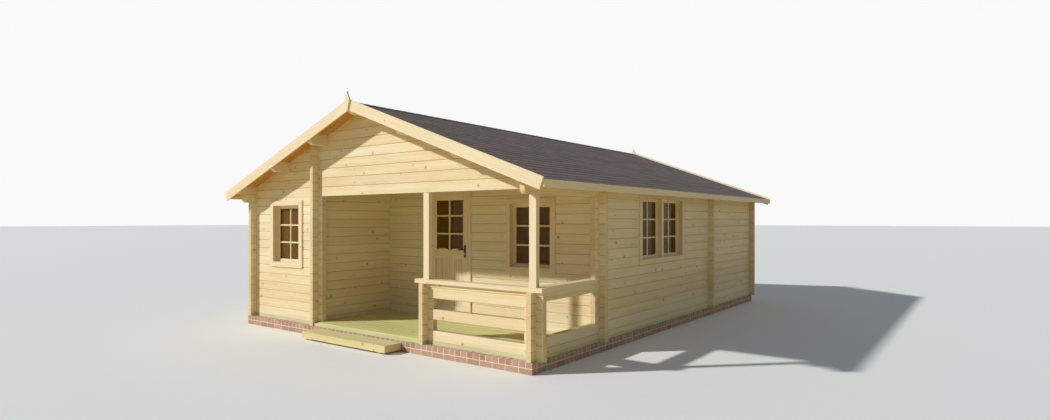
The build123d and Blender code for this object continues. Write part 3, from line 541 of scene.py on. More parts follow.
dark_steel = coated_steel()
zinc_steel = zinc_plate()
print("made", dark_steel.name, zinc_steel.name)


# %% Glass
def pane_with_painted_room_light():
    """Float glass before a dim timber room: smooth, half see-through, its brown in faint clouds.

    The brown is painted light: it stands in for the light that comes back from the room's own
    walls, and the clouds make that painted light uneven from pane to pane. The mirror image is kept
    weak, because the studio has only a white backdrop for it, which would wash the panes out.
    """
    material, tree, shader = start_material("glass_float", roughness=0.02, ior=1.52)
    place = add(tree, "TexCoord").outputs["Object"]
    clouds = add(tree, "TexNoise", {"Vector": place, "Scale": 3.0, "Detail": 2.0})
    tone = add(tree, "Mix", {0: clouds, COLOUR_A: linear("#6B4817"), COLOUR_B: linear("#83601F")},
               data_type="RGBA")
    set_inputs(tree, shader, {"Base Color": tone, "Specular IOR Level": 0.12, "Alpha": 0.6})
    return material


float_glass = pane_with_painted_room_light()
print("made", float_glass.name)

# %% [markdown]
# ## Materials on the frame's nodes
# A node keeps its shape and gets the timber whose grain runs the way its real piece is cut. Its
# own slot is emptied and filled again, which leaves its mesh as it was. One table does it for all
# nodes, so that a wrong finish is found at a glance.

# %% Assign the materials
finishes = {
    logs_across: ["front_wall", "front_gable", "veranda_wall_left", "veranda_wall_right",
                  "veranda_gable", "partition_walls", "partition_gable", "rear_wall",
                  "rear_gable", "balustrade_front"],
    logs_along: ["left_wall", "right_wall", "side_room_wall", "balustrade_side",
                 "balustrade_stub", "left_wall_plate", "right_wall_plate"],
    beams_along: ["purlins", "ridge_beam"],
    posts: ["corner_post", "middle_veranda_post"],
    single_frames: ["front_window", "veranda_window", "rear_window"],
    pair_frames: ["left_window", "right_window"],
    door_timber: ["door_leaf"],
    door_surround: ["door_frame"],
    rail_across: ["handrail_front"],
    rail_along: ["handrail_side", "eave_fascias", "roof_boards_left", "roof_boards_right"],
    barge_left: ["front_barge_board_left", "rear_barge_board_left"],
    barge_right: ["front_barge_board_right", "rear_barge_board_right"],
    finial_timber: ["finials"],
    floor_boards: ["floor"],
    treated_across: ["base_beams_across"],
    treated_step: ["entrance_step"],
    treated_deck: ["veranda_deck"],
    treated_along: ["base_beams_along"],
    oiled_oak: ["threshold"],
    brick_clay: ["brick_plinth"],
    shingle_slate: ["roof_cover_left", "roof_cover_right"],
    dark_steel: ["door_handle"],
    zinc_steel: ["hinge_pins", "hinge_barrels"],
    float_glass: ["window_glass", "door_glass"],
}
for material, names in finishes.items():
    for name in names:
        nodes[name].data.materials.clear()
        nodes[name].data.materials.append(material)
print(sum(len(names) for names in finishes.values()), "of", len(nodes), "nodes have a material")

# %% [markdown]
# ## Meshes from whole arrays
# Small pieces come in crowds: bricks, boards, shingles. A cube and a bevel modifier for each would
# be slow, so one helper gives the corners of any number of boxes with bevelled edges at once. A
# second carries an outline through stations, and a third makes the object, turns its faces outward
# and lets it ride on a body of the frame.

# %% Bevelled boxes
def bevelled_box():
    """Unit corners and faces of a box: 6 sides, 12 edge strips and 8 corner triangles.

    Corner number 3 * c + a lies on the side across axis a, next to the box's corner c.
    """
    signs = np.array(list(itertools.product((-1, 1), repeat=3)))
    corners = np.repeat(signs, 3, axis=0)
    outer = np.tile(np.eye(3, dtype=bool), (8, 1))
    faces = [[3 * c, 3 * c + 1, 3 * c + 2] for c in range(8)]
    for a in range(3):
        b, d = (a + 1) % 3, (a + 2) % 3
        for side in (-1, 1):
            ring = [c for pair in ((-1, -1), (1, -1), (1, 1), (-1, 1)) for c in range(8)
                    if signs[c][a] == side and signs[c][b] == pair[0] and signs[c][d] == pair[1]]
            faces.append([3 * c + a for c in ring])
            for other in (-1, 1):
                first, last = [c for c in range(8) if signs[c][a] == side and signs[c][b] == other]
                faces.append([3 * first + a, 3 * last + a, 3 * last + b, 3 * first + b])
    return corners, outer, faces


BOX_CORNERS, BOX_OUTER, BOX_FACES = bevelled_box()
BOX_SIZE = len(BOX_CORNERS)
print("a bevelled box has", BOX_SIZE, "corners and", len(BOX_FACES), "faces")


# %% Any number of boxes at once
def boxes(low, high, bevel):
    """Corners and faces of bevelled boxes, and for each corner the number of its box.

    Each corner is low or high, moved in by the bevel along every axis but that of its own side.
    """
    low, high = np.atleast_2d(low)[:, None, :], np.atleast_2d(high)[:, None, :]
    inset = np.where(BOX_OUTER, 0.0, bevel)[None]
    corners = np.where(BOX_CORNERS[None] > 0, high - inset, low + inset)
    count = len(corners)
    faces = [[BOX_SIZE * box + corner for corner in face]
             for box in range(count) for face in BOX_FACES]
    return corners.reshape(-1, 3), faces, np.repeat(np.arange(count), BOX_SIZE)


# %% Outlines carried along a path
def carried(outline, stations, closed=False):
    """Corners and faces of an outline of (sideways, up) pairs at each (origin, sideways, up).

    A corner is the origin plus sideways times the first part plus up times the second. The ends
    are closed by one face each, or joined to each other when the path is closed.
    """
    outline, stations = np.asarray(outline, float), np.asarray(stations, float)
    corners = (stations[:, None, 0] + outline[None, :, :1] * stations[:, None, 1]
               + outline[None, :, 1:] * stations[:, None, 2])
    steps, size = len(stations), len(outline)
    number = np.arange(steps * size).reshape(steps, size)
    following = np.roll(number, -1, axis=0) if closed else number[1:]
    here = number if closed else number[:-1]
    quads = np.stack([here, np.roll(here, -1, axis=1), np.roll(following, -1, axis=1), following],
                     axis=-1)
    faces = quads.reshape(-1, 4).tolist()
    if not closed:
        faces += [number[0].tolist(), number[-1].tolist()]
    return corners.reshape(-1, 3), faces


def joined(parts):
    """One set of corners and faces, and for each corner the number of the part it comes from."""
    corners, faces, owner, start = [], [], [], 0
    for number, (points, loops) in enumerate(parts):
        corners.append(points)
        faces += [[start + corner for corner in loop] for loop in loops]
        owner.append(np.full(len(points), float(number)))
        start += len(points)
    return np.concatenate(corners), faces, np.concatenate(owner)


# %% Make a piece
def piece(name, mesh_parts, material, body="cabin", replaces=()):
    """A mesh object at the origin from (corners, faces, board number of each corner or None).

    Its faces are turned outward, and the board numbers become the seeds of its material.
    """
    corners, faces, board = mesh_parts
    mesh = bpy.data.meshes.new(name)
    mesh.from_pydata(np.asarray(corners).tolist(), [], faces)
    mesh.update()
    work = bmesh.new()
    work.from_mesh(mesh)
    bmesh.ops.recalc_face_normals(work, faces=work.faces)
    work.to_mesh(mesh)
    work.free()
    if board is not None:
        seeds = mesh.attributes.new("board", "FLOAT", "POINT")
        seeds.data.foreach_set("value", np.asarray(board, np.float32))
    mesh.materials.append(material)
    made = bpy.data.objects.new(name, mesh)
    bpy.context.scene.collection.objects.link(made)
    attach(made, body)
    if replaces:
        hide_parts(*replaces)
    print(name, len(mesh.vertices), "corners", len(mesh.polygons), "faces")


def node_box(name):
    """The low and the high corner of a node of the frame, as arrays."""
    return tuple(np.array(corner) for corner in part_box(name))


# %% [markdown]
# ## Brickwork
# The plinth has two courses: stretchers below, with their long faces out, and headers above, with
# their ends out. The bricks are 190 by 90 by 65 mm with joints of 10 mm, and the mortar lies 3 mm
# behind their faces. An array modifier could lay a row, but its bricks would all be the same. No
# real brick is quite straight, so the rows are worked out and each brick is moved by up to a
# millimetre.

# %% Rows of bricks
BRICK_HEIGHT, BRICK_DEPTH, BRICK_JOINT, BRICK_EASE = 0.065, 0.09, 0.01, 0.002
STRETCHER_PITCH, HEADER_PITCH, BRICK_UNEVEN = 0.2, 0.1, 0.001
plinth_low, plinth_high = node_box("brick_plinth")


def brick_row(start, end, pitch):
    """Ends of the bricks of a row: its length is shared by a whole number of bricks and joints."""
    count = max(1, round((end - start + BRICK_JOINT) / pitch))
    step = (end - start + BRICK_JOINT) / count
    first = start + step * np.arange(count)
    return first, first + step - BRICK_JOINT


def brick_course(pitch, low_z, high_z):
    """Low and high corners of a course: rows over the full front and rear, then rows between."""
    (x_low, y_low), (x_high, y_high) = plinth_low[:2], plinth_high[:2]
    inner = BRICK_DEPTH + BRICK_JOINT
    lows, highs = [], []
    for axis, start, end, nears in ((0, x_low, x_high, (y_low, y_high - BRICK_DEPTH)),
                                    (1, y_low + inner, y_high - inner,
                                     (x_low, x_high - BRICK_DEPTH))):
        first, last = brick_row(start, end, pitch)
        for near in nears:
            low, high = np.full((len(first), 3), low_z), np.full((len(first), 3), high_z)
            low[:, axis], high[:, axis] = first, last
            low[:, 1 - axis], high[:, 1 - axis] = near, near + BRICK_DEPTH
            lows.append(low)
            highs.append(high)
    return np.concatenate(lows), np.concatenate(highs)


print("plinth from", plinth_low, "to", plinth_high)

# %% Bricks and mortar
MORTAR_BACK, MORTAR_WALL, MORTAR_EASE = 0.003, 0.205, 0.001  # behind the bricks, and its width
courses = [brick_course(STRETCHER_PITCH, 0.0, BRICK_HEIGHT),
           brick_course(HEADER_PITCH, BRICK_HEIGHT + BRICK_JOINT, plinth_high[2])]
lows = np.concatenate([course[0] for course in courses])
highs = np.concatenate([course[1] for course in courses])
uneven = luck.uniform(0.0, BRICK_UNEVEN, lows.shape)
uneven[:, 2] = 0.0
piece("bricks", boxes(lows + uneven, highs - uneven[::-1], BRICK_EASE), brick_clay,
      replaces=["brick_plinth"])

near_x, near_y = plinth_low[:2] + MORTAR_BACK
far_x, far_y = plinth_high[:2] - MORTAR_BACK
inner_y, outer_y = near_y + MORTAR_WALL, far_y - MORTAR_WALL
top = plinth_high[2] - MORTAR_EASE
lows = [(near_x, near_y, 0.0), (near_x, outer_y, 0.0), (near_x, inner_y, 0.0),
        (far_x - MORTAR_WALL, inner_y, 0.0)]
highs = [(far_x, inner_y, top), (far_x, far_y, top), (near_x + MORTAR_WALL, outer_y, top),
         (far_x, outer_y, top)]
corners, faces, _ = boxes(lows, highs, MORTAR_EASE)
piece("mortar", (corners, faces, np.zeros(len(corners))), mortar_lime,
      replaces=["brick_plinth"])

# %% [markdown]
# ## Base beams
# The walls stand on treated beams laid flat on the brickwork. Under a crossing of log walls a
# beam's end shows below the log ends, and elsewhere it stops at the wall. Each one is a box with
# eased edges. Where they cross, the real ones are halved. A boolean could cut that, but stretches
# laid between the beams across look the same and keep their edges clean.

# %% Beams across
BEAM_EASE, BEAM_GAP = 0.002, 0.003
across_low, across_high = node_box("base_beams_across")
lines_across = [(low[1], high[1]) for low, high in
                map(node_box, ("front_wall", "veranda_wall_left", "partition_walls", "rear_wall"))]
lines_along = [(low[0], high[0]) for low, high in
               map(node_box, ("left_wall", "side_room_wall", "balustrade_stub", "right_wall"))]
# Three beams reach past the left wall. The veranda's one stops at it.
lefts = [across_low[0], lines_along[0][0], across_low[0], across_low[0]]
lows = [(left, near, across_low[2]) for left, (near, far) in zip(lefts, lines_across)]
highs = [(across_high[0], far, across_high[2]) for near, far in lines_across]
# The way in has a short beam before the front wall's line, from the side room to the stub.
lows.append((lines_along[1][1] + BEAM_GAP, across_low[1], across_low[2]))
highs.append((lines_along[2][0] - BEAM_GAP, lines_across[0][0], across_high[2]))
piece("bearers_across", boxes(lows, highs, BEAM_EASE), treated_across,
      replaces=["base_beams_across"])

# %% Beams along
JOIST_MIDDLES = (-2.065, 0.0, 2.065)
along_low, along_high = node_box("base_beams_along")
joists = [(middle - LOG_DEPTH / 2, middle + LOG_DEPTH / 2) for middle in JOIST_MIDDLES]
stretches = [(far, near) for (_, far), (near, _) in zip(lines_across, lines_across[1:])]
front_ends, rear_ends = (along_low[1], lines_across[0][0]), (lines_across[-1][1], along_high[1])
laid = [(line, stretch) for line in lines_along + joists for stretch in stretches]
laid += [(line, front_ends) for line in lines_along]
laid += [(line, rear_ends) for line in (lines_along[0], lines_along[-1])]
lows = [(left, near, along_low[2]) for (left, _), (near, _) in laid]
highs = [(right, far, along_high[2]) for (_, right), (_, far) in laid]
piece("bearers_along", boxes(lows, highs, BEAM_EASE), treated_along,
      replaces=["base_beams_along"])

# %% [markdown]
# ## Deck boards
# The veranda's deck is laid in boards parallel to the front, 113 mm wide with a 5 mm gap, and
# their upper edges are eased. A board that meets the log ends is notched round them. A boolean
# could cut the notches, but here each row is made of stretches, which start at the depth where the
# deck starts there, and all of them are eased alike.

# %% Lay the deck
DECK_GAP, DECK_EASE, DECK_ROWS, NARROWEST = 0.005, 0.003, 13, 0.01
LOG_END, NOTCH_GAP = 0.1, 0.003  # how far a log reaches past a crossing, and the air round it
deck_low, deck_high = node_box("veranda_deck")
wall_back, past_end = lines_across[0][1], LOG_END + NOTCH_GAP
behind_wall, behind_ends = wall_back + NOTCH_GAP, wall_back + past_end
(_, room_right), (stub_left, stub_right), (wall_left, _) = lines_along[1:]
# Where the log ends notch the deck, and how far back it starts between two of these places.
notches = (deck_low[0], room_right + past_end, stub_left - NOTCH_GAP, stub_right + past_end,
           wall_left - NOTCH_GAP - past_end, deck_high[0])
starts = (behind_wall, deck_low[1], behind_ends, behind_wall, behind_ends)
row_pitch = (deck_high[1] + DECK_GAP - deck_low[1]) / DECK_ROWS
lows, highs, rows = [], [], []
for row in range(DECK_ROWS):
    near = deck_low[1] + row * row_pitch
    far = near + row_pitch - DECK_GAP
    for left, right, start in zip(notches, notches[1:], starts):
        if max(near, start) <= far - NARROWEST:
            lows.append((left, max(near, start), deck_low[2]))
            highs.append((right, far, deck_high[2]))
            rows.append(row)
corners, faces, owner = boxes(lows, highs, (0.0, DECK_EASE, DECK_EASE))
piece("deck_boards", (corners, faces, np.array(rows)[owner]), treated_deck,
      replaces=["veranda_deck"])

# %% [markdown]
# ## Roof boards
# Under the overhangs and the veranda one sees the roof's boards from below. They run down the
# slope, 96 mm wide, with a V at each joint. A drawn line would do far away, but only a real V has
# a bright side and a dark one. The section of each board is an outline with two chamfered lower
# edges, carried from the ridge to the eave.

# %% Roof boards with V joints
ROOF_BOARD, ROOF_V = 0.096, 0.004
slope = math.tan(math.radians(ROOF_PITCH))
for name, side in (("left", -1), ("right", 1)):
    low, high = node_box(f"roof_boards_{name}")
    reach = high[0] - low[0]
    thick = (high[2] - low[2]) - reach * slope
    top = high[2] - thick
    count = round((high[1] - low[1]) / ROOF_BOARD)
    pitch = (high[1] - low[1]) / count
    section = np.array([(0.0, thick), (0.0, ROOF_V), (ROOF_V, 0.0), (pitch - ROOF_V, 0.0),
                        (pitch, ROOF_V), (pitch, thick)])
    ridge = [(0, 0, top), (0, 1, 0), (0, 0, 1)]
    eave = [(side * reach, 0, top - reach * slope), (0, 1, 0), (0, 0, 1)]
    parts = [carried(section + (low[1] + place * pitch, 0.0), [ridge, eave])
             for place in range(count)]
    piece(f"roof_boarding_{name}", joined(parts), painted_shade_roof_timber[name],
          replaces=[f"roof_boards_{name}"])

# %% [markdown]
# ## Shingles
# Bitumen shingles come in strips a metre long, cut into three tabs. Each course covers the top of
# the one below, so the slope's section is a flight of shallow steps, and the cuts of a course lie
# over the middles of the tabs below. A bump on a flat slope would not show at the eave, where one
# sees the edges, so each tab is a thin wedge: 3 mm at its upper end, where the next course starts,
# and 6 mm at its butt.

# %% Shingle courses
TAB_WIDTH, TAB_CUT, TAB_THIN, TAB_THICK, TAB_EASE = 0.333, 0.008, 0.0028, 0.006, 0.0008
TAB_COURSES, TAB_NARROWEST, UNDERLAY = 24, 0.03, 0.9 * TAB_THIN
pitch_sin, pitch_cos = math.sin(math.radians(ROOF_PITCH)), math.cos(math.radians(ROOF_PITCH))


def shingle_tabs(slant, near, far):
    """Low and high corners of one slope laid flat, as (down, along, out).

    The first box is the underlay. Then each course has its tabs, moved by half a tab in turn.
    """
    exposure = slant / TAB_COURSES
    lows, highs = [[0.0, near, 0.0]], [[slant, far, UNDERLAY]]
    for course in range(TAB_COURSES):
        cuts = np.arange(near - TAB_WIDTH / 2 * (course % 2), far, TAB_WIDTH)
        first = np.maximum(cuts + TAB_CUT / 2, near)
        last = np.minimum(cuts + TAB_WIDTH - TAB_CUT / 2, far)
        keep = last - first > TAB_NARROWEST
        first, last = first[keep], last[keep]
        start = np.full_like(first, course * exposure)
        lows += np.stack([start, first, np.zeros_like(first)], axis=1).tolist()
        highs += np.stack([start + exposure, last, np.full_like(first, TAB_THICK)],
                          axis=1).tolist()
    return np.array(lows), np.array(highs)


# %% Lay the shingles on both slopes
# A corner's height over the slope grows from thin to thick down its tab. Then the flat slope is
# turned by the pitch: sideways by cosine and sine, down by sine and cosine.
for name, side in (("left", -1), ("right", 1)):
    low, high = node_box(f"roof_cover_{name}")
    foot = high[2] - TAB_THICK / pitch_cos
    slant = (high[0] - low[0] - TAB_THICK * pitch_sin) / pitch_cos
    lows, highs = shingle_tabs(slant, low[1], high[1])
    corners, faces, owner = boxes(lows, highs, TAB_EASE)
    down, along, out = corners.T
    down_part = np.clip((down - lows[owner, 0]) / (slant / TAB_COURSES), 0, 1)
    wedge = (TAB_THIN + (TAB_THICK - TAB_THIN) * down_part) / TAB_THICK
    out = out * np.where(owner == 0, 1.0, wedge)
    placed = np.stack([side * (down * pitch_cos + out * pitch_sin), along,
                       foot - down * pitch_sin + out * pitch_cos], axis=1)
    piece(f"shingles_{name}", (placed, faces, owner), shingle_slate,
          replaces=[f"roof_cover_{name}"])

# %% [markdown]
# ## Ridge shingles
# The ridge is covered by single tabs, bent over it. Each starts under the one before it and shows
# 145 mm. A bent sheet with a Solidify modifier would do too. Here its section is a thin bent
# strip, round at the ridge, carried from one end to the other, which lies lower by the strip's
# thickness, so that bend, thickness and lap come from one outline.

# %% Ridge caps
CAP_REACH, CAP_THICK, CAP_ROUND, CAP_SHOW, CAP_LIFT = 0.125, 0.003, 0.018, 0.145, 0.0005
CAP_STEPS = 7
low, high = node_box("roof_cover_left")
turns = np.radians(np.linspace(ROOF_PITCH, -ROOF_PITCH, CAP_STEPS))
round_over = np.stack([-np.sin(turns), np.cos(turns)], axis=1)
under_arc = CAP_ROUND * round_over - (0.0, CAP_ROUND / pitch_cos)
over_arc = under_arc + CAP_THICK * round_over
wing = np.array([pitch_cos, -pitch_sin]) * CAP_REACH
other_wing = wing * (-1, 1)
outline = np.concatenate([[under_arc[-1] + wing], [over_arc[-1] + wing], over_arc[::-1],
                          [over_arc[0] + other_wing], [under_arc[0] + other_wing], under_arc])
count = round((high[1] - low[1]) / CAP_SHOW)
step = (high[1] - low[1]) / count
foot = high[2] + CAP_LIFT
parts = [carried(outline, [[(0, low[1] + place * step, foot + CAP_THICK), (1, 0, 0), (0, 0, 1)],
                           [(0, low[1] + (place + 1) * step, foot), (1, 0, 0), (0, 0, 1)]])
         for place in range(count)]
piece("ridge_shingles", joined(parts), shingle_slate)

# %% [markdown]
# ## Glazing bars and beads
# Each sash is divided by slim bars, two panes wide and three high. A real bar has a rebate for the
# glass, a flat nose and sloping sides. A box would be quicker, but the slopes give a bar its bright
# and its dark side. So its section is carried from edge to edge, once outside the pane and once
# inside it. The beads that hold the glass are the same idea on a closed path: at each corner the
# section is moved in along the mitre.

# %% Sections of a bar and a bead
BAR_HALF, NOSE_HALF, BAR_FOOT, BAR_SHOULDER, BAR_TOP, NOSE_EASE = (
    0.0135, 0.0085, 0.003, 0.012, 0.014, 0.001)
BEAD_RADIUS, BEAD_STEPS = 0.011, 5
right_half = np.array([(NOSE_HALF - NOSE_EASE, BAR_TOP), (NOSE_HALF, BAR_SHOULDER),
                       (BAR_HALF, BAR_FOOT), (BAR_HALF, 0.0)])
bar_section = np.concatenate([right_half[::-1] * (-1, 1), right_half])
bead_turns = np.radians(np.linspace(0, 90, BEAD_STEPS))
bead_arc = np.stack([np.cos(bead_turns), np.sin(bead_turns)], axis=1)
bead_section = np.concatenate([[(0.0, 0.0)], BEAD_RADIUS * bead_arc])


def bar(start, end, across, outward):
    """A bar's section carried from start to end, its foot on the glass and its nose outward."""
    return carried(bar_section, [[start, across, outward], [end, across, outward]])


def bead(path, outward):
    """A bead's section carried round a closed path of points.

    Sideways is the mitre: the sum of the two inward directions at a corner, over 1 plus their dot
    product.
    """
    path = np.asarray(path, float)
    ahead = np.roll(path, -1, axis=0) - path
    ahead /= np.linalg.norm(ahead, axis=1, keepdims=True)
    inward = np.cross(outward, ahead)
    if np.sum(inward * (path.mean(axis=0) - path)) < 0:
        inward = -inward
    before = np.roll(inward, 1, axis=0)
    mitre = (inward + before) / (1 + np.sum(inward * before, axis=1, keepdims=True))
    stations = np.stack([path, mitre, np.broadcast_to(outward, path.shape)], axis=1)
    return carried(bead_section, stations, closed=True)


print("a bar has", len(bar_section), "corners in its section, a bead", len(bead_section))

# %% Bars of one pane
GLASS_THICK = 0.004
LEVEL_BAR_NOSE = 0.96  # level bars are a little flatter, so that two noses share no plane
X_AXIS, Y_AXIS, Z_AXIS = np.eye(3)


def both_faces(face, outward):
    """The outer and the inner face of a pane, each with the direction that leads away from it."""
    return (face, outward), (face - GLASS_THICK * np.sum(outward), -outward)


def pane_bars(middle, low, high, width, heights, along, outward, face):
    """One upright and several level bars, outside and inside the pane."""
    parts = []
    for foot, toward in both_faces(face, outward):
        centre = np.abs(outward) * foot + along * middle
        side = along * width / 2
        parts.append(bar(centre + Z_AXIS * low, centre + Z_AXIS * high, along, toward))
        parts += [bar(centre - side + Z_AXIS * height, centre + side + Z_AXIS * height, Z_AXIS,
                      LEVEL_BAR_NOSE * toward) for height in heights]
    return parts


# %% Bars and beads of the windows
PANE_WIDE, PANE_HIGH, SINGLE_LOW, PAIR_LOW = 0.646, 0.854, 1.124, 1.219
PAIR_FACE, PAIR_MIDDLES = 2.914, (3.101, 3.903)
# Each pane: the axis along its wall, the way out, its outer face, its middle and its lowest edge.
window_panes = [(X_AXIS, -Y_AXIS, 0.086, -2.023, SINGLE_LOW),
                (X_AXIS, -Y_AXIS, 1.541, 1.851, SINGLE_LOW),
                (X_AXIS, Y_AXIS, 8.014, 1.5, SINGLE_LOW)]
window_panes += [(Y_AXIS, side * X_AXIS, side * PAIR_FACE, middle, PAIR_LOW)
                 for side in (-1, 1) for middle in PAIR_MIDDLES]
bars, beads = [], []
for along, outward, face, middle, low in window_panes:
    high = low + PANE_HIGH
    thirds = (low + PANE_HIGH / 3, low + PANE_HIGH * 2 / 3)
    bars += pane_bars(middle, low, high, PANE_WIDE, thirds, along, outward, face)
    for foot, toward in both_faces(face, outward):
        centre, side = np.abs(outward) * foot + along * middle, along * PANE_WIDE / 2
        path = [centre - side + Z_AXIS * low, centre + side + Z_AXIS * low,
                centre + side + Z_AXIS * high, centre - side + Z_AXIS * high]
        beads.append(bead(path, toward))
piece("window_glazing_bars", joined(bars), bar_timber)
piece("window_glazing_beads", joined(beads), bar_timber)

# %% Bars and beads of the door
# The pane's lower edge is two shallow arcs side by side. The height over the edge's ends is the
# root of (radius squared - offset squared), less the radius, plus the rise.
DOOR_MIDDLE, DOOR_GLASS_WIDE, DOOR_GLASS_LOW, DOOR_GLASS_HIGH = 0.241, 0.6, 1.285, 2.106
DOOR_GLASS_FACE, DOOR_BARS = 1.472, (1.5575, 1.847)
ARC_RISE, ARC_HALF, ARC_STEPS = 0.028, 0.15, 13
arc_radius = (ARC_HALF ** 2 + ARC_RISE ** 2) / (2 * ARC_RISE)
offsets = np.linspace(-ARC_HALF, ARC_HALF, ARC_STEPS)
hump = np.sqrt(arc_radius ** 2 - offsets ** 2) - arc_radius + ARC_RISE
foot_x = DOOR_MIDDLE + np.concatenate([offsets - ARC_HALF, (offsets + ARC_HALF)[1:]])
foot_z = DOOR_GLASS_LOW + np.concatenate([hump, hump[1:]])
path_x = np.concatenate([foot_x, [foot_x[-1], foot_x[0]]])
path_z = np.concatenate([foot_z, [DOOR_GLASS_HIGH, DOOR_GLASS_HIGH]])
parts = pane_bars(DOOR_MIDDLE, DOOR_GLASS_LOW, DOOR_GLASS_HIGH, DOOR_GLASS_WIDE, DOOR_BARS, X_AXIS,
                  -Y_AXIS, DOOR_GLASS_FACE)
parts += [bead(np.stack([path_x, np.full_like(path_x, foot), path_z], axis=1), toward)
          for foot, toward in both_faces(DOOR_GLASS_FACE, -Y_AXIS)]
piece("door_glazing_bars", joined(parts), bar_timber, body="door")

# %% [markdown]
# ## Door handle
# The handle is a long plate with round ends and a lever that leaves it in a collar, turns through
# a quarter circle and runs level towards the hinges, thinner at its end. A curve with a bevel
# could make the lever, but its thickness would be harder to shape. So both are outlines carried
# along a path: the plate through three steps that ease its edge, the lever along its centre line.

# %% Plate and collar
HANDLE_X, HANDLE_Z, PLATE_BACK, PLATE_FRONT, PLATE_MIDDLE = 0.583, 1.31, 1.455, 1.45, 1.2825
PLATE_HALF, PLATE_END, PLATE_EASE = 0.1025, 0.02, 0.0015
FACE_WIDE, FACE_TALL = 0.93, 0.986  # the eased face's share of the plate's width and height
HALF_CIRCLE = 12  # steps in half a circle
COLLAR_STEPS = ((0.0, 0.015), (0.003, 0.0145), (0.0055, 0.012), (0.006, 0.0095))


def turned_part(outline, height, steps):
    """An outline carried straight out of the plate, at steps of (distance from it, radius)."""
    return carried(outline, [[(HANDLE_X, PLATE_FRONT - depth, height), (radius, 0, 0),
                              (0, 0, radius)] for depth, radius in steps])


turns = np.radians(np.linspace(0, 180, HALF_CIRCLE + 1))
upper = np.stack([PLATE_END * np.cos(turns),
                  PLATE_HALF - PLATE_END + PLATE_END * np.sin(turns)], axis=1)
plate_steps = ((PLATE_BACK, 1, 1), (PLATE_FRONT + PLATE_EASE, 1, 1),
               (PLATE_FRONT, FACE_WIDE, FACE_TALL))
plate = carried(np.concatenate([upper, -upper]),
                [[(HANDLE_X, depth, PLATE_MIDDLE), (wide, 0, 0), (0, 0, tall)]
                 for depth, wide, tall in plate_steps])
turns = np.radians(np.linspace(0, 360, 2 * HALF_CIRCLE, endpoint=False))
circle = np.stack([np.cos(turns), np.sin(turns)], axis=1)
collar = turned_part(circle, HANDLE_Z, COLLAR_STEPS)
print("the plate has", len(plate[0]), "corners and the collar", len(collar[0]))

# %% Lever
# The centre line goes straight out, round the bend and along the run. The lever's half thickness
# shrinks with the root of the way along the run, and its tip is rounded off like a circle.
LEVER_REACH, LEVER_BEND, LEVER_END, LEVER_DIP = 0.041, 0.014, 0.478, 0.002
LEVER_HALF, LEVER_THINNING, LEVER_SWELL, TIP_START, TIP_SHARE = 0.0085, 0.0035, 0.0012, 0.9, 0.02
OUT_STEPS, BEND_STEPS, RUN_STEPS = 3, 9, 14
START_STEPS = OUT_STEPS + BEND_STEPS
out = np.linspace(0, 1, OUT_STEPS + 1)[:-1]
turn = np.radians(np.linspace(0, 90, BEND_STEPS))
run = np.linspace(0, 1, RUN_STEPS + 1)[1:]
bend_x, deepest = HANDLE_X - LEVER_BEND, PLATE_FRONT - LEVER_REACH
lever_x = np.concatenate([np.full(OUT_STEPS, HANDLE_X), bend_x + LEVER_BEND * np.cos(turn),
                          bend_x + (LEVER_END - bend_x) * run])
lever_y = np.concatenate([PLATE_FRONT - (LEVER_REACH - LEVER_BEND) * out,
                          deepest + LEVER_BEND * (1 - np.sin(turn)), np.full(RUN_STEPS, deepest)])
lever_z = np.concatenate([np.full(START_STEPS, HANDLE_Z),
                          HANDLE_Z - LEVER_DIP * np.sin(np.pi * run)])
heading = np.concatenate([np.zeros(OUT_STEPS), turn, np.full(RUN_STEPS, np.pi / 2)])
tip = np.clip((run - TIP_START) / (1 - TIP_START), 0, 1)
ending = np.concatenate([np.ones(START_STEPS), np.sqrt(np.clip(1 - tip ** 2, TIP_SHARE, 1))])
plain = np.full(START_STEPS, LEVER_HALF)
half_thick = np.concatenate([plain, LEVER_HALF - LEVER_THINNING * np.sqrt(run)]) * ending
half_tall = np.concatenate([plain, LEVER_HALF + LEVER_SWELL * np.sin(np.pi * run)]) * ending
stations = np.zeros((len(heading), 3, 3))
stations[:, 0] = np.stack([lever_x, lever_y, lever_z], axis=1)
sideways = np.stack([np.cos(heading), -np.sin(heading), np.zeros_like(heading)], axis=1)
stations[:, 1] = sideways * half_thick[:, None]
stations[:, 2, 2] = half_tall
corners, faces, _ = joined([plate, collar, carried(circle, stations)])
piece("door_lever_on_plate", (corners, faces, None), dark_steel, body="door",
      replaces=["door_handle"])

# %% Lock cylinder and screws
LOCK_Z, SCREW_SPAN = 1.238, 0.09
LOCK_ROUND, LOCK_FOOT = (0.0085, 0.008), (0.005, -0.011)  # radius and height of each end
SCREW_STEPS = ((-0.001, 0.0035), (0.0004, 0.0035), (0.001, 0.0022))
lobe = np.concatenate([circle[:HALF_CIRCLE + 1] * LOCK_ROUND[0] + (0, LOCK_ROUND[1]),
                       circle[HALF_CIRCLE:] * LOCK_FOOT[0] + (0, LOCK_FOOT[1])])
lock = carried(lobe, [[(HANDLE_X, PLATE_FRONT - depth, LOCK_Z), (1, 0, 0), (0, 0, 1)]
                      for depth in (-0.002, 0.002)])
screws = [turned_part(circle[::2], PLATE_MIDDLE + place, SCREW_STEPS)
          for place in (-SCREW_SPAN, SCREW_SPAN)]
corners, faces, _ = joined([lock, *screws])
piece("door_lock_and_screws", (corners, faces, None), zinc_steel, body="door")

# %% [markdown]
# ## Floor, light and camera
# The floor and the backdrop look pale to the camera. The light that they give the cabin is set
# apart from that: warm from the floor, weak and a little blue from the backdrop, so that the shaded
# side stays as deep as outdoors. One lamp, far away, gives the parallel light of the sun.

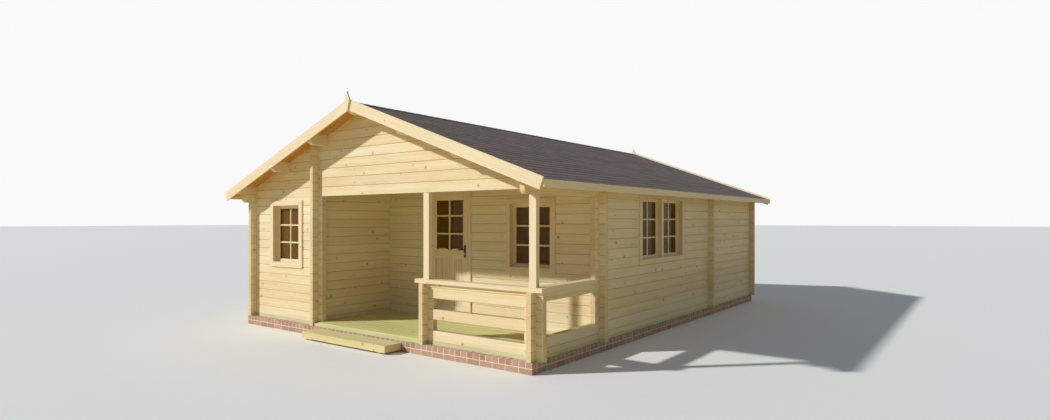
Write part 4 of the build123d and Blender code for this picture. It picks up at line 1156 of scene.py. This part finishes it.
# %% Studio floor and backdrop
FLOOR_REACH, FLOOR_LIGHT, FLOOR_SEEN = 200.0, linear("#F4E2A8"), linear("#F0EFEA")
BACKDROP_LIGHT, BACKDROP_SEEN = (0.15, 0.185, 0.225, 1), (0.95, 0.95, 0.95, 1)


def seen_mask(tree):
    """1 for what the camera, a reflection or glass looks at, 0 for light that bounces."""
    path = add(tree, "LightPath")
    seen = add(tree, "Math", {0: path.outputs["Is Camera Ray"], 1: path.outputs["Is Glossy Ray"]},
               operation="ADD")
    return add(tree, "Math", {0: seen, 1: path.outputs["Is Transmission Ray"]}, operation="ADD",
               use_clamp=True)


floor_paint, tree, shader = start_material("studio_floor_pale", roughness=0.85)
tone = add(tree, "Mix", {0: seen_mask(tree), COLOUR_A: FLOOR_LIGHT, COLOUR_B: FLOOR_SEEN},
           data_type="RGBA")
set_inputs(tree, shader, {"Base Color": tone})
floor_mesh = bpy.data.meshes.new("studio_floor")
floor_mesh.from_pydata([(x * FLOOR_REACH, y * FLOOR_REACH, 0)
                        for x, y in ((-1, -1), (1, -1), (1, 1), (-1, 1))], [], [(0, 1, 2, 3)])
floor_mesh.materials.append(floor_paint)
studio_floor = bpy.data.objects.new("studio_floor", floor_mesh)
bpy.context.scene.collection.objects.link(studio_floor)

world = bpy.data.worlds.new("studio_backdrop")
bpy.context.scene.world = world
world.use_nodes = True
backdrop = add(world.node_tree, "Mix", {0: seen_mask(world.node_tree), COLOUR_A: BACKDROP_LIGHT,
                                        COLOUR_B: BACKDROP_SEEN}, data_type="RGBA")
background = world.node_tree.nodes["Background"]
set_inputs(world.node_tree, background, {"Color": backdrop, "Strength": 1.0})
print("floor and backdrop made")

# %% Sun from the front left
SUN_STRENGTH, SUN_ANGLE, SUN_TILT, SUN_TURN = 3.3, 2, 59.3, -45
sun_data = bpy.data.lights.new("key_light", "SUN")
sun_data.energy = SUN_STRENGTH
sun_data.angle = math.radians(SUN_ANGLE)
sun = bpy.data.objects.new("key_light", sun_data)
bpy.context.scene.collection.objects.link(sun)
sun.rotation_euler = (math.radians(SUN_TILT), 0, math.radians(SUN_TURN))
print("sun tilted by", SUN_TILT, "degrees and turned by", SUN_TURN)

# %% Camera at the photograph's angle
CAMERA_LENS, CAMERA_SHIFT, CAMERA_PLACE, CAMERA_TURN = 21.35, 0.0093, (7.194, -5.860, 1.782), 36.6
camera_data = bpy.data.cameras.new("camera")
camera_data.lens = CAMERA_LENS
camera_data.shift_y = CAMERA_SHIFT
camera = bpy.data.objects.new("camera", camera_data)
bpy.context.scene.collection.objects.link(camera)
camera.location = CAMERA_PLACE
camera.rotation_euler = (math.radians(90), 0, math.radians(CAMERA_TURN))
bpy.context.scene.camera = camera
bpy.context.scene.view_settings.view_transform = "Standard"
print("camera at", CAMERA_PLACE)
